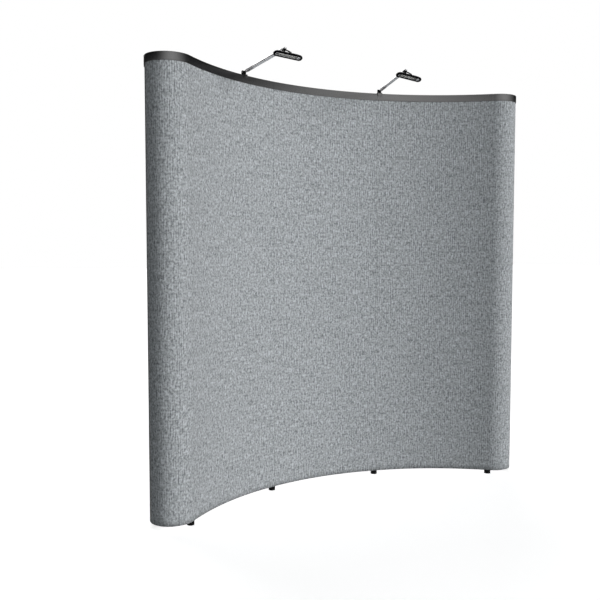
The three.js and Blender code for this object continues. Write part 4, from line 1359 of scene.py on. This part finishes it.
def build_camera():
    data = bpy.data.cameras.new("camera")
    data.sensor_width = SENSOR
    data.lens = FOCAL_PIXELS / FRAME_SIZE * SENSOR
    data.shift_y = PRINCIPAL_DROP / FRAME_SIZE
    data.clip_end = 200
    camera = bpy.data.objects.new("camera", data)
    camera.location = CAMERA_PLACE
    camera.rotation_euler = (CAMERA_PITCH, 0, CAMERA_HEADING)
    bpy.context.scene.collection.objects.link(camera)
    bpy.context.scene.camera = camera


def build_sun(name, azimuth, elevation, strength, spread, glossy, tint):
    """A distant soft light. Azimuth 0 stands in front, on the -Y side, and 90 on the +X side."""
    turn, rise = math.radians(azimuth), math.radians(elevation)
    towards = Vector((math.sin(turn) * math.cos(rise), -math.cos(turn) * math.cos(rise), math.sin(rise)))
    data = bpy.data.lights.new(name, "SUN")
    data.energy, data.angle, data.color = strength, math.radians(spread), tint
    light = bpy.data.objects.new(name, data)
    light.rotation_euler = towards.to_track_quat("Z", "Y").to_euler()
    light.visible_glossy = glossy
    bpy.context.scene.collection.objects.link(light)


GLOSS_AZIMUTH = math.radians(5)
GLOSS_PEAK = 2.0
GLOSS_FALL = 2.8
OVERHEAD_GLOSS = 0.12
OVERHEAD_FROM = 0.45
OVERHEAD_TO = 0.95
SIDE_GLOSS = 0.01
SOFT_GREY = 0.015
BACKDROP = 1.0
FLOOR_REACH = 60.0
FLOOR_SEEN = 0.72
FLOOR_MIRRORED = 0.6
SUNS = (  # azimuth, elevation, strength, spread, seen in reflections, tint
    ("key", 37, 14, 2.12, 22, False, (1, 1, 1)),
    ("fill", -34, 10, 0.90, 40, False, (0.965, 1.0, 1.015)),
    ("back", 168, 38, 1.5, 50, True, (1, 1, 1)),
)


def graded_light(tree, ray, otherwise, value):
    """The value for one kind of ray, and another strength for all others."""
    shares = {"Factor": ray, "A": otherwise, "B": value}
    return node(tree, "ShaderNodeMix", shares, data_type="FLOAT").outputs[0]


def build_world():
    """A white backdrop for the camera, dim grey for soft light, and a graded one in reflections:
    peak max(towards . middle, 0)^fall + overhead + side."""
    world = bpy.data.worlds.new("studio")
    world.use_nodes = True
    bpy.context.scene.world = world
    tree = world.node_tree
    tree.nodes.clear()
    path = node(tree, "ShaderNodeLightPath").outputs
    towards = node(tree, "ShaderNodeTexCoord").outputs["Generated"]
    height = node(tree, "ShaderNodeSeparateXYZ", {0: towards}).outputs[2]
    above = node(tree, "ShaderNodeMapRange", {
        0: height, 1: OVERHEAD_FROM, 2: OVERHEAD_TO, 3: 0.0, 4: OVERHEAD_GLOSS}).outputs[0]
    middle = (math.sin(GLOSS_AZIMUTH), -math.cos(GLOSS_AZIMUTH), 0)
    facing = node(tree, "ShaderNodeVectorMath", {0: towards, 1: middle}, operation="DOT_PRODUCT")
    in_front = math_node(tree, "MAXIMUM", facing.outputs["Value"], 0.0)
    lobe = math_node(tree, "POWER", in_front, GLOSS_FALL)
    graded = math_node(tree, "MULTIPLY_ADD", lobe, GLOSS_PEAK, math_node(tree, "ADD", above, SIDE_GLOSS))
    strength = graded_light(tree, path["Is Glossy Ray"], SOFT_GREY, graded)
    strength = graded_light(tree, path["Is Camera Ray"], strength, BACKDROP)
    shade = node(tree, "ShaderNodeBackground", {"Color": (1, 1, 1, 1), "Strength": strength})
    tree.links.new(shade.outputs[0], node(tree, "ShaderNodeOutputWorld").inputs[0])


def build_floor():
    """A pale floor that reads as white to the camera, with a soft shadow."""
    mesh = bpy.data.meshes.new("floor")
    corners = [(x * FLOOR_REACH, y * FLOOR_REACH, 0) for x, y in ((-1, -1), (1, -1), (1, 1), (-1, 1))]
    mesh.from_pydata(corners, [], [(0, 1, 2, 3)])
    floor = bpy.data.objects.new("floor", mesh)
    bpy.context.scene.collection.objects.link(floor)
    material, tree, shader = new_material(
        "pale_floor", Base_Color=(0.86, 0.86, 0.86, 1), Roughness=0.9,
        Specular_IOR_Level=0.1, Emission_Color=(1, 1, 1, 1))
    path = node(tree, "ShaderNodeLightPath").outputs
    mirrored_share = math_node(tree, "MULTIPLY", path["Is Glossy Ray"], FLOOR_MIRRORED)
    glow = math_node(tree, "MULTIPLY_ADD", path["Is Camera Ray"], FLOOR_SEEN, mirrored_share)
    tree.links.new(glow, shader.inputs["Emission Strength"])
    mesh.materials.append(material)
    floor.visible_diffuse = False


def build_studio():
    build_world()
    build_floor()
    for sun in SUNS:
        build_sun(*sun)
    view = bpy.context.scene.view_settings
    view.view_transform, view.look = "Standard", "None"


build_camera()
build_front()
build_end("left", -1)
build_end("right", 1)
build_frame()
build_light("left")
build_light("right")
build_studio()
